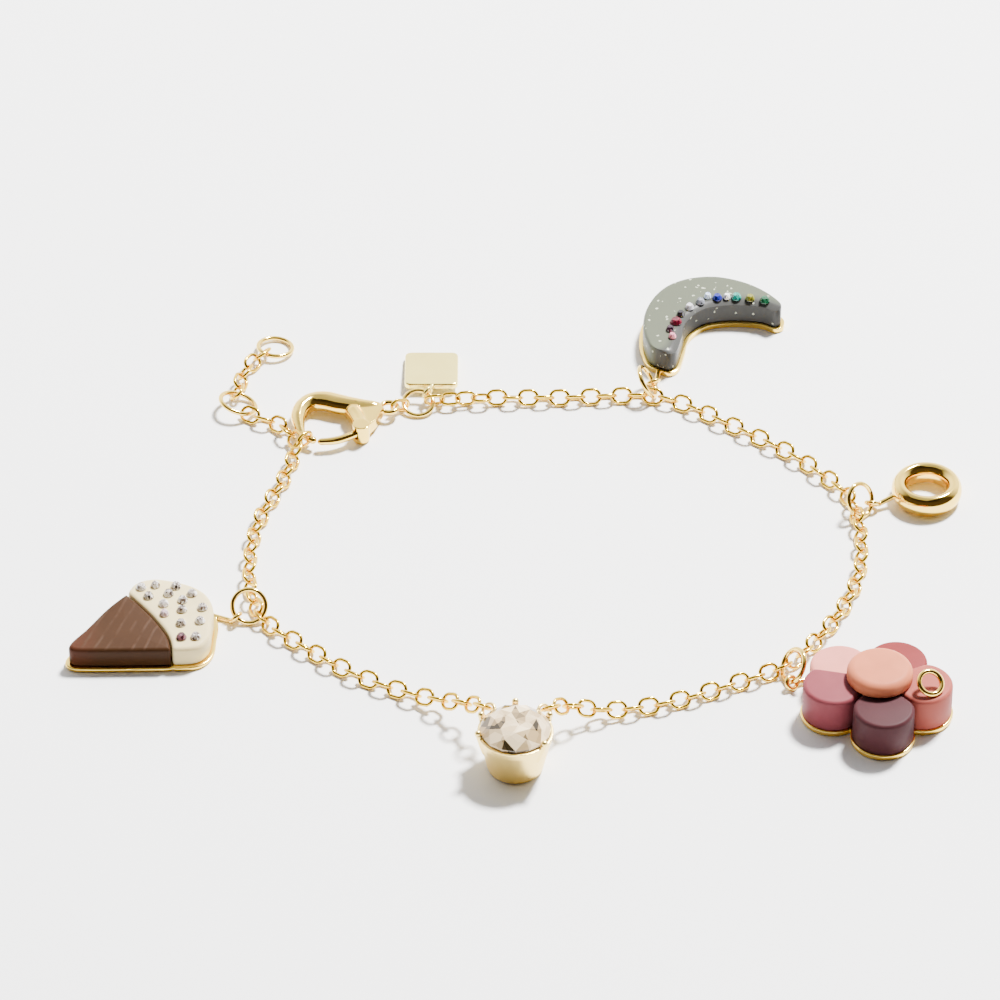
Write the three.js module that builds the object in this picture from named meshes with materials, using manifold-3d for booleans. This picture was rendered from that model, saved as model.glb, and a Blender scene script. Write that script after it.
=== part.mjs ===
// A gold charm bracelet laid out as a closed loop on a table. A fine cable chain carries a
// cup-set crystal, a resin flower, a puffed ring, a stone-set moon, a plain tag and a
// waffle-cone charm, and closes with a sprung lobster clasp that grips one chain link, so
// that the last links and their two rings are left over as an extender.
// Millimetres, +Z up, +Y away from the viewer; every height is measured from the table.
import * as THREE from 'three';
import { mergeVertices } from 'three/addons/utils/BufferGeometryUtils.js';
import Module from 'manifold-3d';

const wasm = await Module();
wasm.setup();

// Clearances
const PLAY = 0.1;
const RING_PLAY = 0.36;
const SEAT = 0.06;

// Cable chain
const CHAIN_WIRE = 0.3;
const LINK_WIDTH = 1.75;
const LINK_PITCH = 1.535;
const LINK_JOIN = 0.03;
const LINK_ROLL = 45;
const START_TWIST = 65;
const TWIST_LINKS = 6;
const LINK_SIDES = 10;
const WIRE_SIDES = 5;
const LINKED_REACH = 3.4;
const TUBE_RADIUS = 0.6;
const TUBE_SIDES = 8;
const TUBE_STEP = 2.4;

// Jump rings and eyes
const RING_RADIUS = 1.575;
const RING_WIRE = 0.45;
const TAG_RING_RADIUS = 1.45;
const MID_RING_RADIUS = 1.8;
const END_RING_RADIUS = 1.68;
const EYE_RADIUS = 0.58;
const EYE_WIRE = 0.36;

// Lobster clasp
const CLASP_LENGTH = 10.3;
const CLASP_THICKNESS = 1.9;
const CLASP_HEIGHT = 1.02;
const TIP_WIRE = 0.6;
const TAIL_EYE_RADIUS = 0.8;
const TAIL_EYE_WIRE = 0.55;
const CLASP_LINK_WIDTH = 1.4;
const PIVOT_BOSS_RADIUS = 0.85;
const PIN_RADIUS = 0.24;
const LEVER_THICKNESS = 0.8;
const LEVER_WIDTH = 0.78;
const LEVER_ROOT_RADIUS = 0.6;
const LEVER_TIP = 0.5;
const LEVER_SWING = 20;
const SLOT_LENGTH = 3;

// Crystal in its cup
const CUP_HEIGHT = 4.3;
const CUP_RIM_RADIUS = 3.5;
const CUP_BASE_RADIUS = 2.57;
const CUP_WALL = 0.35;
const CUP_FLOOR = 0.5;
const STONE_LEDGE = 0.25;
const STONE_RADIUS = CUP_RIM_RADIUS - STONE_LEDGE;
const TABLE_RADIUS = 1.9;
const CROWN_HEIGHT = 1.05;
const GIRDLE_HEIGHT = 0.2;
const PRONG_RADIUS = 0.28;
const PRONG_HEIGHT = 0.75;
const PRONG_ROOT = 1;
const CUP_LOOP_RADIUS = 0.65;
const CUP_LOOP_WIRE = 0.35;
const CUP_LOOP_SINK = 0.1;
const CUP_LOOP_DROP = 0.4;

// Flower
const FLOWER_PLATE = 0.5;
const FLOWER_LIP = 0.15;
const PETAL_RADIUS = 2.82;
const PETAL_TOP = 3.9;
const BACK_PETAL_TOP = 3.05;
const PETAL_ROUND = 0.7;
const PETAL_GAP = 0.12;
const CENTER_RADIUS = 3.05;
const CENTER_THICKNESS = 1.3;
const CENTER_ROUND = 0.35;
const NECK_RADIUS = 1.0;
const SMALL_RING_RADIUS = 1.1;
const SMALL_RING_WIRE = 0.34;

// Moon, cone, tag and puffed ring
const TRAY_THICKNESS = 0.5;
const TRAY_LIP = 0.35;
const MOON_THICKNESS = 2.2;
const MOON_ROUND = 0.3;
const CONE_PLATE = 0.4;
const CONE_LIP = 0.35;
const CONE_THICKNESS = 1.95;
const CONE_ROUND = 0.3;
const CONE_SEAM = 0.12;
const TAG_WIDTH = 5.25;
const TAG_LENGTH = 6;
const TAG_THICKNESS = 0.6;
const TAG_CORNER = 0.45;
const TAG_TILT = 5.8;
const TAG_EYE_RADIUS = 0.56;
const TAG_EYE_WIRE = 0.3;
const PUFF_RADIUS = 2.62;
const PUFF_WIDTH = 1.55;
const PUFF_THICKNESS = 2.2;

// Small flat-backed stones
const STONE_HEIGHT = 0.5;
const STONE_SIDES = 8;

const degrees = THREE.MathUtils.degToRad;
const rollLift = Math.sin(degrees(LINK_ROLL));
const CHAIN_LIFT = (LINK_WIDTH - CHAIN_WIRE) / 2 * rollLift + CHAIN_WIRE / 2;

// Chosen points of the chain's route on the table, as [x, y] or [x, y, height].
const ROUTE_RIGHT = [
  [-4.6, 14.65, 0.9], [0.0, 14.95, 0.8], [6.2, 15.1], [12.35, 15.45], [15.3, 15.3], [17.8, 14.25],
  [22.6, 10.75], [28.1, 6.4], [31.1, 3.1], [33.35, 0.0], [34.25, -3.9], [34.4, -7.5],
  [34.0, -11.8], [32.2, -17.0], [29.9, -21.1], [26.7, -25.1], [21.6, -27.9], [15.9, -30.4],
  [12.0, -31.5, 0.74], [9.0, -32.3, 1.3], [6.3, -33.3, 2.7],
];
// Where the right part has its links, as [x, y, reach]; between them it is plain tube.
const LINKED_RIGHT = [
  [4.0, 15.3, 12.5], [23.6, 9.8, 8.4], [34.0, -2.4, 3.4], [27.0, -24.7, 3.4], [4.5, -35.0, 3.4],
];
const ROUTE_LEFT = [
  [-2.75, -33.4, 3.0], [-5.3, -31.3, 1.6], [-8.4, -29.3, 0.74], [-13.9, -26.2], [-18.3, -22.5],
  [-22.0, -18.9], [-23.4, -15.1], [-23.7, -9.2], [-23.0, -3.9], [-20.9, 2.2], [-19.9, 6.2],
];
const ROUTE_HELD = [[-20.8, 9.9, 0.85], [-21.9, 11.2], [-23.3, 11.7]];
const ROUTE_END = [[-25.5, 17.5], [-25.15, 19.2], [-24.4, 20.8]];

const gold = { color: 0xe6c98a, metalness: 1, roughness: 0.25 };

function material(look) {
  return new THREE.MeshStandardMaterial(look);
}

// A closed three.js geometry as a solid that can be joined and cut.
function solidOf(geometry) {
  const bare = geometry.index ? geometry.toNonIndexed() : geometry.clone();
  bare.deleteAttribute('normal');
  bare.deleteAttribute('uv');
  const merged = mergeVertices(bare, 1e-4);
  const vertProperties = new Float32Array(merged.attributes.position.array);
  const triVerts = new Uint32Array(merged.index.array);
  return new wasm.Manifold(new wasm.Mesh({ numProp: 3, vertProperties, triVerts }));
}

function geometryOf(solid) {
  const { vertProperties, triVerts } = solid.getMesh();
  const geometry = new THREE.BufferGeometry();
  geometry.setAttribute('position', new THREE.BufferAttribute(vertProperties, 3));
  geometry.setIndex(new THREE.BufferAttribute(triVerts, 1));
  return geometry;
}

function joined(solids) {
  return solids.reduce((whole, next) => whole.add(next));
}

function addPiece(parent, name, solid, look) {
  const mesh = new THREE.Mesh(geometryOf(solid), material(look));
  mesh.name = name;
  parent.add(mesh);
  return mesh;
}

function place(parent, x, y, z, turn) {
  const group = new THREE.Group();
  group.position.set(x, y, z);
  group.rotation.z = degrees(turn);
  parent.add(group);
  group.updateMatrixWorld(true);
  return group;
}

// A frame whose X and Z axes are given, as a matrix at a point.
function frameAt(point, xAxis, zAxis) {
  const yAxis = new THREE.Vector3().crossVectors(zAxis, xAxis).normalize();
  const trueZ = new THREE.Vector3().crossVectors(xAxis, yAxis).normalize();
  return new THREE.Matrix4().makeBasis(xAxis, yAxis, trueZ).setPosition(point);
}

// A round-section ring in the plane of the frame's X and Y axes.
function torusSolid(radius, wire, matrix, sides = 12, wireSides = 5) {
  const geometry = new THREE.TorusGeometry(radius, wire / 2, wireSides, sides);
  return solidOf(geometry.applyMatrix4(matrix));
}

// A straight round bar from one point to another.
function barSolid(from, to, wire, sides = 6) {
  const along = new THREE.Vector3().subVectors(to, from);
  const geometry = new THREE.CylinderGeometry(wire / 2, wire / 2, along.length(), sides);
  const turn = new THREE.Quaternion().setFromUnitVectors(
    new THREE.Vector3(0, 1, 0), along.clone().normalize());
  geometry.applyQuaternion(turn);
  geometry.translate((from.x + to.x) / 2, (from.y + to.y) / 2, (from.z + to.z) / 2);
  return solidOf(geometry);
}

function diskSolid(radius, bottom, top, x = 0, y = 0, sides = 16) {
  const geometry = new THREE.CylinderGeometry(radius, radius, top - bottom, sides);
  geometry.rotateX(Math.PI / 2);
  geometry.translate(x, y, (bottom + top) / 2);
  return solidOf(geometry);
}

function boxSolid(x0, x1, y0, y1, z0, z1) {
  const geometry = new THREE.BoxGeometry(x1 - x0, y1 - y0, z1 - z0);
  geometry.translate((x0 + x1) / 2, (y0 + y1) / 2, (z0 + z1) / 2);
  return solidOf(geometry);
}

// A flat shape with a rounded top and bottom edge, standing on the given height.
function slabSolid(shape, bottom, thickness, round, steps = 2) {
  const geometry = new THREE.ExtrudeGeometry(shape, {
    depth: thickness - 2 * round,
    bevelEnabled: round > 0,
    bevelSize: round,
    bevelOffset: -round,
    bevelThickness: round,
    bevelSegments: steps,
    curveSegments: 3,
  });
  geometry.translate(0, 0, bottom + round);
  return solidOf(geometry);
}

// A rod bent along a flat path, with its width and height given at even steps on the way.
function bentRod(points, widths, heights, level, sides = 8, steps = 16) {
  const path = new THREE.CatmullRomCurve3(points.map(([x, y]) => new THREE.Vector3(x, y, level)));
  const geometry = new THREE.CylinderGeometry(1, 1, 1, sides, steps);
  const position = geometry.attributes.position;
  const share = (values, t) => {
    const step = t * (values.length - 1);
    const first = Math.min(Math.floor(step), values.length - 2);
    return THREE.MathUtils.lerp(values[first], values[first + 1], step - first);
  };
  const up = new THREE.Vector3(0, 0, 1);
  for (let i = 0; i < position.count; i += 1) {
    const t = THREE.MathUtils.clamp(position.getY(i) + 0.5, 0, 1);
    const side = new THREE.Vector3().crossVectors(path.getTangent(t), up);
    const point = path.getPoint(t);
    point.addScaledVector(side, position.getX(i) * share(widths, t) / 2);
    point.addScaledVector(up, position.getZ(i) * share(heights, t) / 2);
    position.setXYZ(i, point.x, point.y, point.z);
  }
  return solidOf(geometry);
}

// One oval link in its own plane, long along X: a coarse torus pulled apart at its waist,
// with an edge of the wire's flat-sided section turned to the hole.
function linkGeometry(holeLength, width = LINK_WIDTH) {
  const radius = (width - CHAIN_WIRE) / 2 / Math.sin(2 * Math.PI / 5);
  const stretch = (holeLength + CHAIN_WIRE) / 2 - radius;
  const geometry = new THREE.TorusGeometry(radius, CHAIN_WIRE / 2, WIRE_SIDES, LINK_SIDES);
  const position = geometry.attributes.position;
  for (let i = 0; i < position.count; i += 1) {
    const x = position.getX(i);
    const y = position.getY(i);
    const turned = 2 * radius / Math.hypot(x, y) - 1;
    const pulled = x * turned + Math.sign(x) * stretch;
    position.setXYZ(i, pulled, y * turned, -position.getZ(i));
  }
  return geometry;
}

// A plain tube along a run of the chain.
function tubeSolid(points) {
  const section = new THREE.Shape();
  for (let i = 0; i < TUBE_SIDES; i += 1) {
    const angle = 2 * Math.PI * i / TUBE_SIDES;
    section.lineTo(TUBE_RADIUS * Math.cos(angle), TUBE_RADIUS * Math.sin(angle));
  }
  const extrudePath = new THREE.CatmullRomCurve3(points);
  const steps = Math.ceil(extrudePath.getLength() / TUBE_STEP);
  return solidOf(new THREE.ExtrudeGeometry(section, { steps, extrudePath }));
}

function routeCurve(from, route, to) {
  const points = route.map(([x, y, z]) => new THREE.Vector3(x, y, z ?? CHAIN_LIFT));
  const curve = new THREE.CatmullRomCurve3([from, ...points, to], false, 'centripetal');
  curve.arcLengthDivisions = 1500;
  return curve;
}

// A point at a length along the curve, carried on straight past either end.
function pointAlong(curve, distance) {
  const whole = curve.getLength();
  const inside = THREE.MathUtils.clamp(distance, 0, whole);
  const point = curve.getPointAt(inside / whole);
  return point.addScaledVector(curve.getTangentAt(inside / whole), distance - inside);
}

// Links from one wire to another: each end reaches past the middle of the wire it loops.
// Where spots are given, only the links near them are made, with plain tube in between.
function makeChain(from, route, to, startReach, endReach, firstRoll, spots = null, twist = 0) {
  const curve = routeCurve(from, route, to);
  const whole = curve.getLength() + startReach + endReach;
  const count = Math.round(whole / LINK_PITCH);
  const pitch = whole / count;
  const links = [];
  for (let i = 0; i < count; i += 1) {
    const start = pointAlong(curve, i * pitch - startReach);
    const end = pointAlong(curve, (i + 1) * pitch - startReach);
    const span = start.distanceTo(end);
    const along = new THREE.Vector3().subVectors(end, start).normalize();
    const left = new THREE.Vector3(-along.y, along.x, 0).normalize();
    const roll = i % 2 === 0 ? firstRoll : firstRoll - 90;
    const extra = twist * Math.max(0, 1 - i / TWIST_LINKS);
    const face = left.clone().applyAxisAngle(along, degrees(roll + extra + 90));
    const center = start.add(end).multiplyScalar(0.5);
    links.push({ center, along, face, span });
  }
  const isLinked = ({ center }) => !spots
    || spots.some(([x, y, reach]) => Math.hypot(center.x - x, center.y - y) < reach);
  const solids = [];
  let run = [];
  links.forEach((link, i) => {
    if (isLinked(link)) {
      const matrix = frameAt(link.center, link.along, link.face);
      solids.push(solidOf(linkGeometry(link.span - LINK_JOIN).applyMatrix4(matrix)));
      return;
    }
    run.push(i);
    if (i + 1 < count && !isLinked(links[i + 1])) {
      return;
    }
    const runStart = run[0] * pitch - startReach - LINK_JOIN;
    const runLength = run.length * pitch + 2 * LINK_JOIN;
    const steps = Math.ceil(runLength / TUBE_STEP);
    const points = Array.from({ length: steps + 1 }, (_, j) => (
      pointAlong(curve, runStart + runLength * j / steps)));
    solids.push(tubeSolid(points));
    run = [];
  });
  return { links, solid: joined(solids) };
}

// A ring that leans on the table: its middle, the heading of its lowest point and its lean.
function leaningRing(x, y, radius, wire, lowHeading, lean) {
  const low = degrees(lowHeading);
  const tilt = degrees(lean);
  const center = new THREE.Vector3(x, y, radius * Math.sin(tilt) + wire / 2);
  const downhill = new THREE.Vector3(
    Math.cos(low) * Math.cos(tilt), Math.sin(low) * Math.cos(tilt), -Math.sin(tilt));
  const across = new THREE.Vector3(-Math.sin(low), Math.cos(low), 0);
  const axis = new THREE.Vector3().crossVectors(downhill, across);
  return { center, radius, wire, downhill, across, axis };
}

// A point of a ring at an angle from its lowest point, and the wire's direction there.
function onRing(ring, angle) {
  const turn = degrees(angle);
  const out = ring.downhill.clone().multiplyScalar(Math.cos(turn));
  out.addScaledVector(ring.across, Math.sin(turn));
  const point = ring.center.clone().addScaledVector(out, ring.radius);
  const wireWay = new THREE.Vector3().crossVectors(ring.axis, out);
  return { point, out, wireWay };
}

function ringSolid(ring) {
  return torusSolid(ring.radius, ring.wire, frameAt(ring.center, ring.downhill, ring.axis), 14);
}

// A ring threaded through a link: of the links near the spot, the one that faces its wire.
function ringThrough(links, { spot, lowHeading, lean, side }) {
  const [x, y] = spot;
  const trial = leaningRing(0, 0, RING_RADIUS, RING_WIRE, lowHeading, lean);
  const rise = RING_RADIUS * Math.sin(degrees(lean));
  const angleFor = (height) => {
    const drop = (height - RING_WIRE / 2) / rise;
    return side * THREE.MathUtils.radToDeg(Math.acos(1 - drop));
  };
  const near = links.filter((link) => Math.hypot(link.center.x - x, link.center.y - y) < LINK_PITCH);
  const facing = (link) => Math.abs(onRing(trial, angleFor(link.center.z)).wireWay.dot(link.face));
  const link = near.reduce((best, next) => (facing(next) > facing(best) ? next : best));
  const angle = angleFor(link.center.z);
  const offset = onRing(trial, angle).point;
  const middle = link.center.clone().sub(offset);
  return leaningRing(middle.x, middle.y, RING_RADIUS, RING_WIRE, lowHeading, lean);
}

// A soldered eye around a ring's wire, with a bar that carries it into the charm.
function eyeSolid(ring, angle, target, radius = EYE_RADIUS, wire = EYE_WIRE) {
  const { point, out, wireWay } = onRing(ring, angle);
  const middle = point.clone().addScaledVector(out, radius - wire / 2 - ring.wire / 2 - PLAY);
  const eye = torusSolid(radius, wire, frameAt(middle, out, wireWay), 10, 5);
  const way = new THREE.Vector3().subVectors(target, middle);
  way.addScaledVector(wireWay, -way.dot(wireWay)).normalize();
  const start = middle.clone().addScaledVector(way, radius);
  return eye.add(barSolid(start, target, wire));
}

// A flat-backed faceted stone: eight crown facets and a table.
function stoneSolid(x, y, z, radius, turn) {
  const profile = [
    new THREE.Vector2(0, 0),
    new THREE.Vector2(radius, 0),
    new THREE.Vector2(radius * 0.58, STONE_HEIGHT),
    new THREE.Vector2(0, STONE_HEIGHT),
  ];
  const geometry = new THREE.LatheGeometry(profile, STONE_SIDES);
  geometry.rotateX(Math.PI / 2);
  geometry.rotateZ(turn);
  geometry.translate(x, y, z);
  return solidOf(geometry);
}

const bracelet = new THREE.Group();
const vector = (x, y, z) => new THREE.Vector3(x, y, z);

// Crystal: a round cup on the table, prongs around its rim, two soldered loops at its back.
const CRYSTAL_PLACE = [1.4, -38.6];
const CUP_LOOP_HEIGHT = CUP_HEIGHT - CUP_LOOP_DROP;
const PRONG_HEADINGS = [90, 152, 196, 318, 28];
const LOOP_HEADINGS = { left: 127, right: 49 };
const crystal = place(bracelet, ...CRYSTAL_PLACE, 0, 0);

function loopPoint(heading, radius) {
  const reach = CUP_RIM_RADIUS - CUP_LOOP_SINK + CUP_LOOP_RADIUS + radius;
  const turn = degrees(heading);
  return vector(reach * Math.cos(turn), reach * Math.sin(turn), CUP_LOOP_HEIGHT);
}

// A loop turned so that its wire crosses the link that it holds squarely.
function cupLoop(heading, link) {
  const way = vector(Math.cos(degrees(heading)), Math.sin(degrees(heading)), 0);
  const axis = new THREE.Vector3().crossVectors(way, link.face);
  const matrix = frameAt(loopPoint(heading, 0), way, axis);
  return torusSolid(CUP_LOOP_RADIUS, CUP_LOOP_WIRE, matrix, 10, 5);
}

function makeCrystal() {
  const wallSlope = (CUP_RIM_RADIUS - CUP_BASE_RADIUS) / CUP_HEIGHT;
  const innerFloor = CUP_BASE_RADIUS + wallSlope * CUP_FLOOR - CUP_WALL;
  const cup = new THREE.LatheGeometry([
    new THREE.Vector2(0, 0),
    new THREE.Vector2(CUP_BASE_RADIUS, 0),
    new THREE.Vector2(CUP_RIM_RADIUS, CUP_HEIGHT),
    new THREE.Vector2(CUP_RIM_RADIUS - CUP_WALL, CUP_HEIGHT),
    new THREE.Vector2(innerFloor, CUP_FLOOR),
    new THREE.Vector2(0, CUP_FLOOR),
  ], 18).rotateX(Math.PI / 2);
  const prongRing = STONE_RADIUS + PRONG_RADIUS + SEAT;
  const prongs = PRONG_HEADINGS.map((heading) => {
    const x = prongRing * Math.cos(degrees(heading));
    const y = prongRing * Math.sin(degrees(heading));
    return diskSolid(PRONG_RADIUS, CUP_HEIGHT - PRONG_ROOT, CUP_HEIGHT + PRONG_HEIGHT, x, y, 6);
  });
  const loops = [
    cupLoop(LOOP_HEADINGS.left, chainLeft.links[0]),
    cupLoop(LOOP_HEADINGS.right, chainRight.links[chainRight.links.length - 1]),
  ];
  addPiece(crystal, 'crystal_setting', joined([solidOf(cup), ...prongs, ...loops]), gold);
  const girdle = CUP_HEIGHT + 2 * SEAT;
  const pavilionRadius = innerFloor - SEAT * 2;
  const stone = new THREE.LatheGeometry([
    new THREE.Vector2(0, CUP_FLOOR + SEAT * 4),
    new THREE.Vector2(pavilionRadius * 0.6, CUP_FLOOR + SEAT * 4),
    new THREE.Vector2(CUP_RIM_RADIUS - CUP_WALL - SEAT * 3, girdle - SEAT * 2),
    new THREE.Vector2(STONE_RADIUS, girdle),
    new THREE.Vector2(STONE_RADIUS, girdle + GIRDLE_HEIGHT),
    new THREE.Vector2(TABLE_RADIUS, girdle + GIRDLE_HEIGHT + CROWN_HEIGHT),
    new THREE.Vector2(0, girdle + GIRDLE_HEIGHT + CROWN_HEIGHT),
  ], 16).rotateX(Math.PI / 2);
  const look = { color: 0xe8dcc6, metalness: 0, roughness: 0.05 };
  addPiece(crystal, 'crystal_stone', solidOf(stone), look);
}

// Clasp: local X runs from the head to the tail eye, local Y to its thick back.
const CLASP_PLACE = [-10.84, 13.11];
const CLASP_TURN = 16.3;
const PIVOT = [-0.35 * CLASP_LENGTH, -2.85];
const clasp = place(bracelet, ...CLASP_PLACE, CLASP_HEIGHT, CLASP_TURN);
// The claw's middle line from its tip round the head to the tail, in shares of its length.
const CLAW_LINE = [
  [-0.795, -0.305], [-0.86, -0.24], [-0.892, -0.15], [-0.888, -0.03], [-0.862, 0.1],
  [-0.79, 0.22], [-0.68, 0.285], [-0.56, 0.265], [-0.44, 0.18], [-0.3, 0.09], [-0.14, 0.03],
  [-0.05, 0],
].map(([x, y]) => [x * CLASP_LENGTH, y * CLASP_LENGTH]);
const CLAW_WIDTHS = [TIP_WIRE, TIP_WIRE, 0.7, 1.15, 1.55, 1.7, 1.85, 2.2, 2.2, 1.9, 1.4, 0.9];
const LEVER_LINE = [[0, 0], [-1.5, -0.5], [-2.8, -0.7], [-3.9, -0.5]];
const LEVER_HEADING = 14;
const full = CLASP_THICKNESS;
const CLAW_HEIGHTS = [TIP_WIRE, TIP_WIRE, 0.7, 1.15, 1.6, full, full, full, full, full, 1.5, 0.9];

function makeClasp() {
  const claw = bentRod(CLAW_LINE, CLAW_WIDTHS, CLAW_HEIGHTS, 0, 8, 20);
  const leg = bentRod([[-0.36 * CLASP_LENGTH, 0.8], [PIVOT[0] + 0.15, -1], PIVOT],
    [1.6, 1.7, 1.5], [full, full, full], 0, 8, 3);
  const boss = diskSolid(PIVOT_BOSS_RADIUS, -full / 2, full / 2, ...PIVOT, 12);
  const tail = torusSolid(TAIL_EYE_RADIUS, TAIL_EYE_WIRE, new THREE.Matrix4());
  const slotHalf = LEVER_THICKNESS / 2 + PLAY;
  const slotReach = LEVER_ROOT_RADIUS + 2 * PLAY;
  let body = joined([claw, leg, boss, tail]);
  body = body.subtract(diskSolid(slotReach, -slotHalf, slotHalf, ...PIVOT, 12));
  for (const swing of [0, LEVER_SWING / 2, LEVER_SWING]) {
    const slot = new THREE.BoxGeometry(SLOT_LENGTH, LEVER_WIDTH + 3 * PLAY, 2 * slotHalf);
    slot.translate(-SLOT_LENGTH / 2, 0, 0);
    slot.rotateZ(degrees(LEVER_HEADING - swing));
    slot.translate(PIVOT[0], PIVOT[1], 0);
    body = body.subtract(solidOf(slot));
  }
  body = body.add(diskSolid(PIN_RADIUS, PLAY - full / 2, full / 2 - PLAY, ...PIVOT, 8));
  addPiece(clasp, 'clasp_body', body, gold);
  const lever = place(clasp, ...PIVOT, 0, 0);
  const leverWidths = [LEVER_WIDTH, LEVER_WIDTH, LEVER_WIDTH, LEVER_TIP];
  const leverHeights = [LEVER_THICKNESS, LEVER_THICKNESS, LEVER_THICKNESS, LEVER_TIP];
  const bar = bentRod(LEVER_LINE, leverWidths, leverHeights, 0, 6, 5);
  const root = diskSolid(LEVER_ROOT_RADIUS, -LEVER_THICKNESS / 2, LEVER_THICKNESS / 2, 0, 0, 12);
  const bore = diskSolid(PIN_RADIUS + PLAY, -LEVER_THICKNESS, LEVER_THICKNESS, 0, 0, 8);
  addPiece(lever, 'clasp_lever', bar.add(root).subtract(bore), gold);
}
makeClasp();

// Tag ring, the small link from it to the clasp's tail eye, and the tag that hangs from it.
const tagRing = leaningRing(-8.0, 14.2, TAG_RING_RADIUS, RING_WIRE, 270, 20);
const TAG_RING_CHAIN = 104;
const TAG_RING_LINK = -80;
const TAG_RING_TAG = 143;
const TAG_PLACE = [-6.75, 16.5, 0.62];
const TAG_EYE_FOOT = [0.1, 0.25];
addPiece(bracelet, 'tag_jump_ring', ringSolid(tagRing), gold);

// The left loop of the crystal's cup to the link that the clasp holds, and on to the ring.
const leftLoop = crystal.localToWorld(loopPoint(LOOP_HEADINGS.left, CUP_LOOP_RADIUS));
const rightLoop = crystal.localToWorld(loopPoint(LOOP_HEADINGS.right, CUP_LOOP_RADIUS));
const ringReach = RING_WIRE / 2 + RING_PLAY;
const loopReach = CUP_LOOP_WIRE / 2 + RING_PLAY;
const chainRight = makeChain(onRing(tagRing, TAG_RING_CHAIN).point, ROUTE_RIGHT, rightLoop,
  ringReach, loopReach, LINK_ROLL, LINKED_RIGHT, START_TWIST);
addPiece(bracelet, 'chain_right', chainRight.solid, gold);

const HELD_SHARE = 0.1;
const MID_RING_CLASP = -74;
const MID_RING_END = 76;
const END_RING_CHAIN = 180;
const CONE_RING = { spot: [-23.0, -17.3], lowHeading: 270, lean: 51, side: 1, eye: -50 };
const midRing = leaningRing(-25.6, 14.0, MID_RING_RADIUS, RING_WIRE, 20, 20);
const endRing = leaningRing(-22.25, 23.5, END_RING_RADIUS, RING_WIRE, 48, 7.5);

function makeHeldChain() {
  const line = new THREE.CatmullRomCurve3(CLAW_LINE.map(([x, y]) => vector(x, y, 0)));
  const grip = clasp.localToWorld(line.getPoint(HELD_SHARE));
  const wireWay = line.getTangent(HELD_SHARE).transformDirection(clasp.matrixWorld);
  const outward = vector(-wireWay.y, wireWay.x, 0);
  const hole = LINK_PITCH - LINK_JOIN;
  const slack = hole / 2 - TIP_WIRE / 2 - PLAY;
  const center = grip.clone().addScaledVector(outward, slack);
  const held = linkGeometry(hole).applyMatrix4(frameAt(center, outward, wireWay));
  const meet = center.clone().addScaledVector(outward, (hole + CHAIN_WIRE) / 2);
  const spots = [leftLoop, vector(...CONE_RING.spot), meet].map(({ x, y }) => [x, y, LINKED_REACH]);
  const front = makeChain(leftLoop, ROUTE_LEFT, meet, loopReach, LINK_JOIN, LINK_ROLL, spots);
  const back = makeChain(meet, ROUTE_HELD, onRing(midRing, MID_RING_CLASP).point, LINK_JOIN, ringReach,
    -LINK_ROLL);
  const solid = joined([front.solid, solidOf(held), back.solid]);
  addPiece(bracelet, 'chain_left', solid, gold);
  return front;
}
const chainLeft = makeHeldChain();
makeCrystal();

const chainEnd = makeChain(onRing(midRing, MID_RING_END).point, ROUTE_END,
  onRing(endRing, END_RING_CHAIN).point, ringReach, ringReach, -LINK_ROLL);
addPiece(bracelet, 'chain_end', chainEnd.solid, gold);
addPiece(bracelet, 'extender_ring_mid', ringSolid(midRing), gold);
addPiece(bracelet, 'extender_ring_end', ringSolid(endRing), gold);

const CLASP_LINK_HEADING = 10;

function makeClaspLink() {
  const turn = degrees(CLASP_LINK_HEADING);
  const eyeSide = vector(TAIL_EYE_RADIUS * Math.cos(turn), TAIL_EYE_RADIUS * Math.sin(turn), 0);
  const from = clasp.localToWorld(eyeSide);
  const to = onRing(tagRing, TAG_RING_LINK).point;
  const along = new THREE.Vector3().subVectors(to, from);
  const hole = along.length() + (TAIL_EYE_WIRE + RING_WIRE) / 2 + 3 * PLAY;
  const across = vector(-along.y, along.x, 0).normalize();
  const center = from.clone().add(to).multiplyScalar(0.5);
  const matrix = frameAt(center, along.normalize(), across);
  const link = linkGeometry(hole, CLASP_LINK_WIDTH).applyMatrix4(matrix);
  addPiece(bracelet, 'clasp_link', solidOf(link), gold);
}
makeClaspLink();

// Tag: a plain rectangular plate that leans from its eye down to the table.
function makeTag() {
  const half = TAG_WIDTH / 2 - TAG_CORNER;
  const shape = new THREE.Shape();
  shape.absarc(half, TAG_CORNER, TAG_CORNER, -Math.PI / 2, 0);
  shape.absarc(half, TAG_LENGTH - TAG_CORNER, TAG_CORNER, 0, Math.PI / 2);
  shape.absarc(-half, TAG_LENGTH - TAG_CORNER, TAG_CORNER, Math.PI / 2, Math.PI);
  shape.absarc(-half, TAG_CORNER, TAG_CORNER, Math.PI, 1.5 * Math.PI);
  const tag = place(bracelet, ...TAG_PLACE, 0);
  tag.rotation.x = -degrees(TAG_TILT);
  tag.updateMatrixWorld(true);
  const target = tag.localToWorld(vector(...TAG_EYE_FOOT, TAG_THICKNESS / 2));
  const toLocal = tag.matrixWorld.clone().invert();
  const eye = eyeSolid(tagRing, TAG_RING_TAG, target, TAG_EYE_RADIUS, TAG_EYE_WIRE);
  const eyeLocal = geometryOf(eye).applyMatrix4(toLocal);
  const plate = slabSolid(shape, 0, TAG_THICKNESS, 0);
  addPiece(tag, 'tag', plate.add(solidOf(eyeLocal)), gold);
}
makeTag();

// A charm's eye is worked out in the whole bracelet's frame and then moved to the charm's.
function eyeInGroup(group, ring, angle, foot, height) {
  const eye = eyeSolid(ring, angle, group.localToWorld(vector(...foot, height)));
  return solidOf(geometryOf(eye).applyMatrix4(group.matrixWorld.clone().invert()));
}

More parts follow.
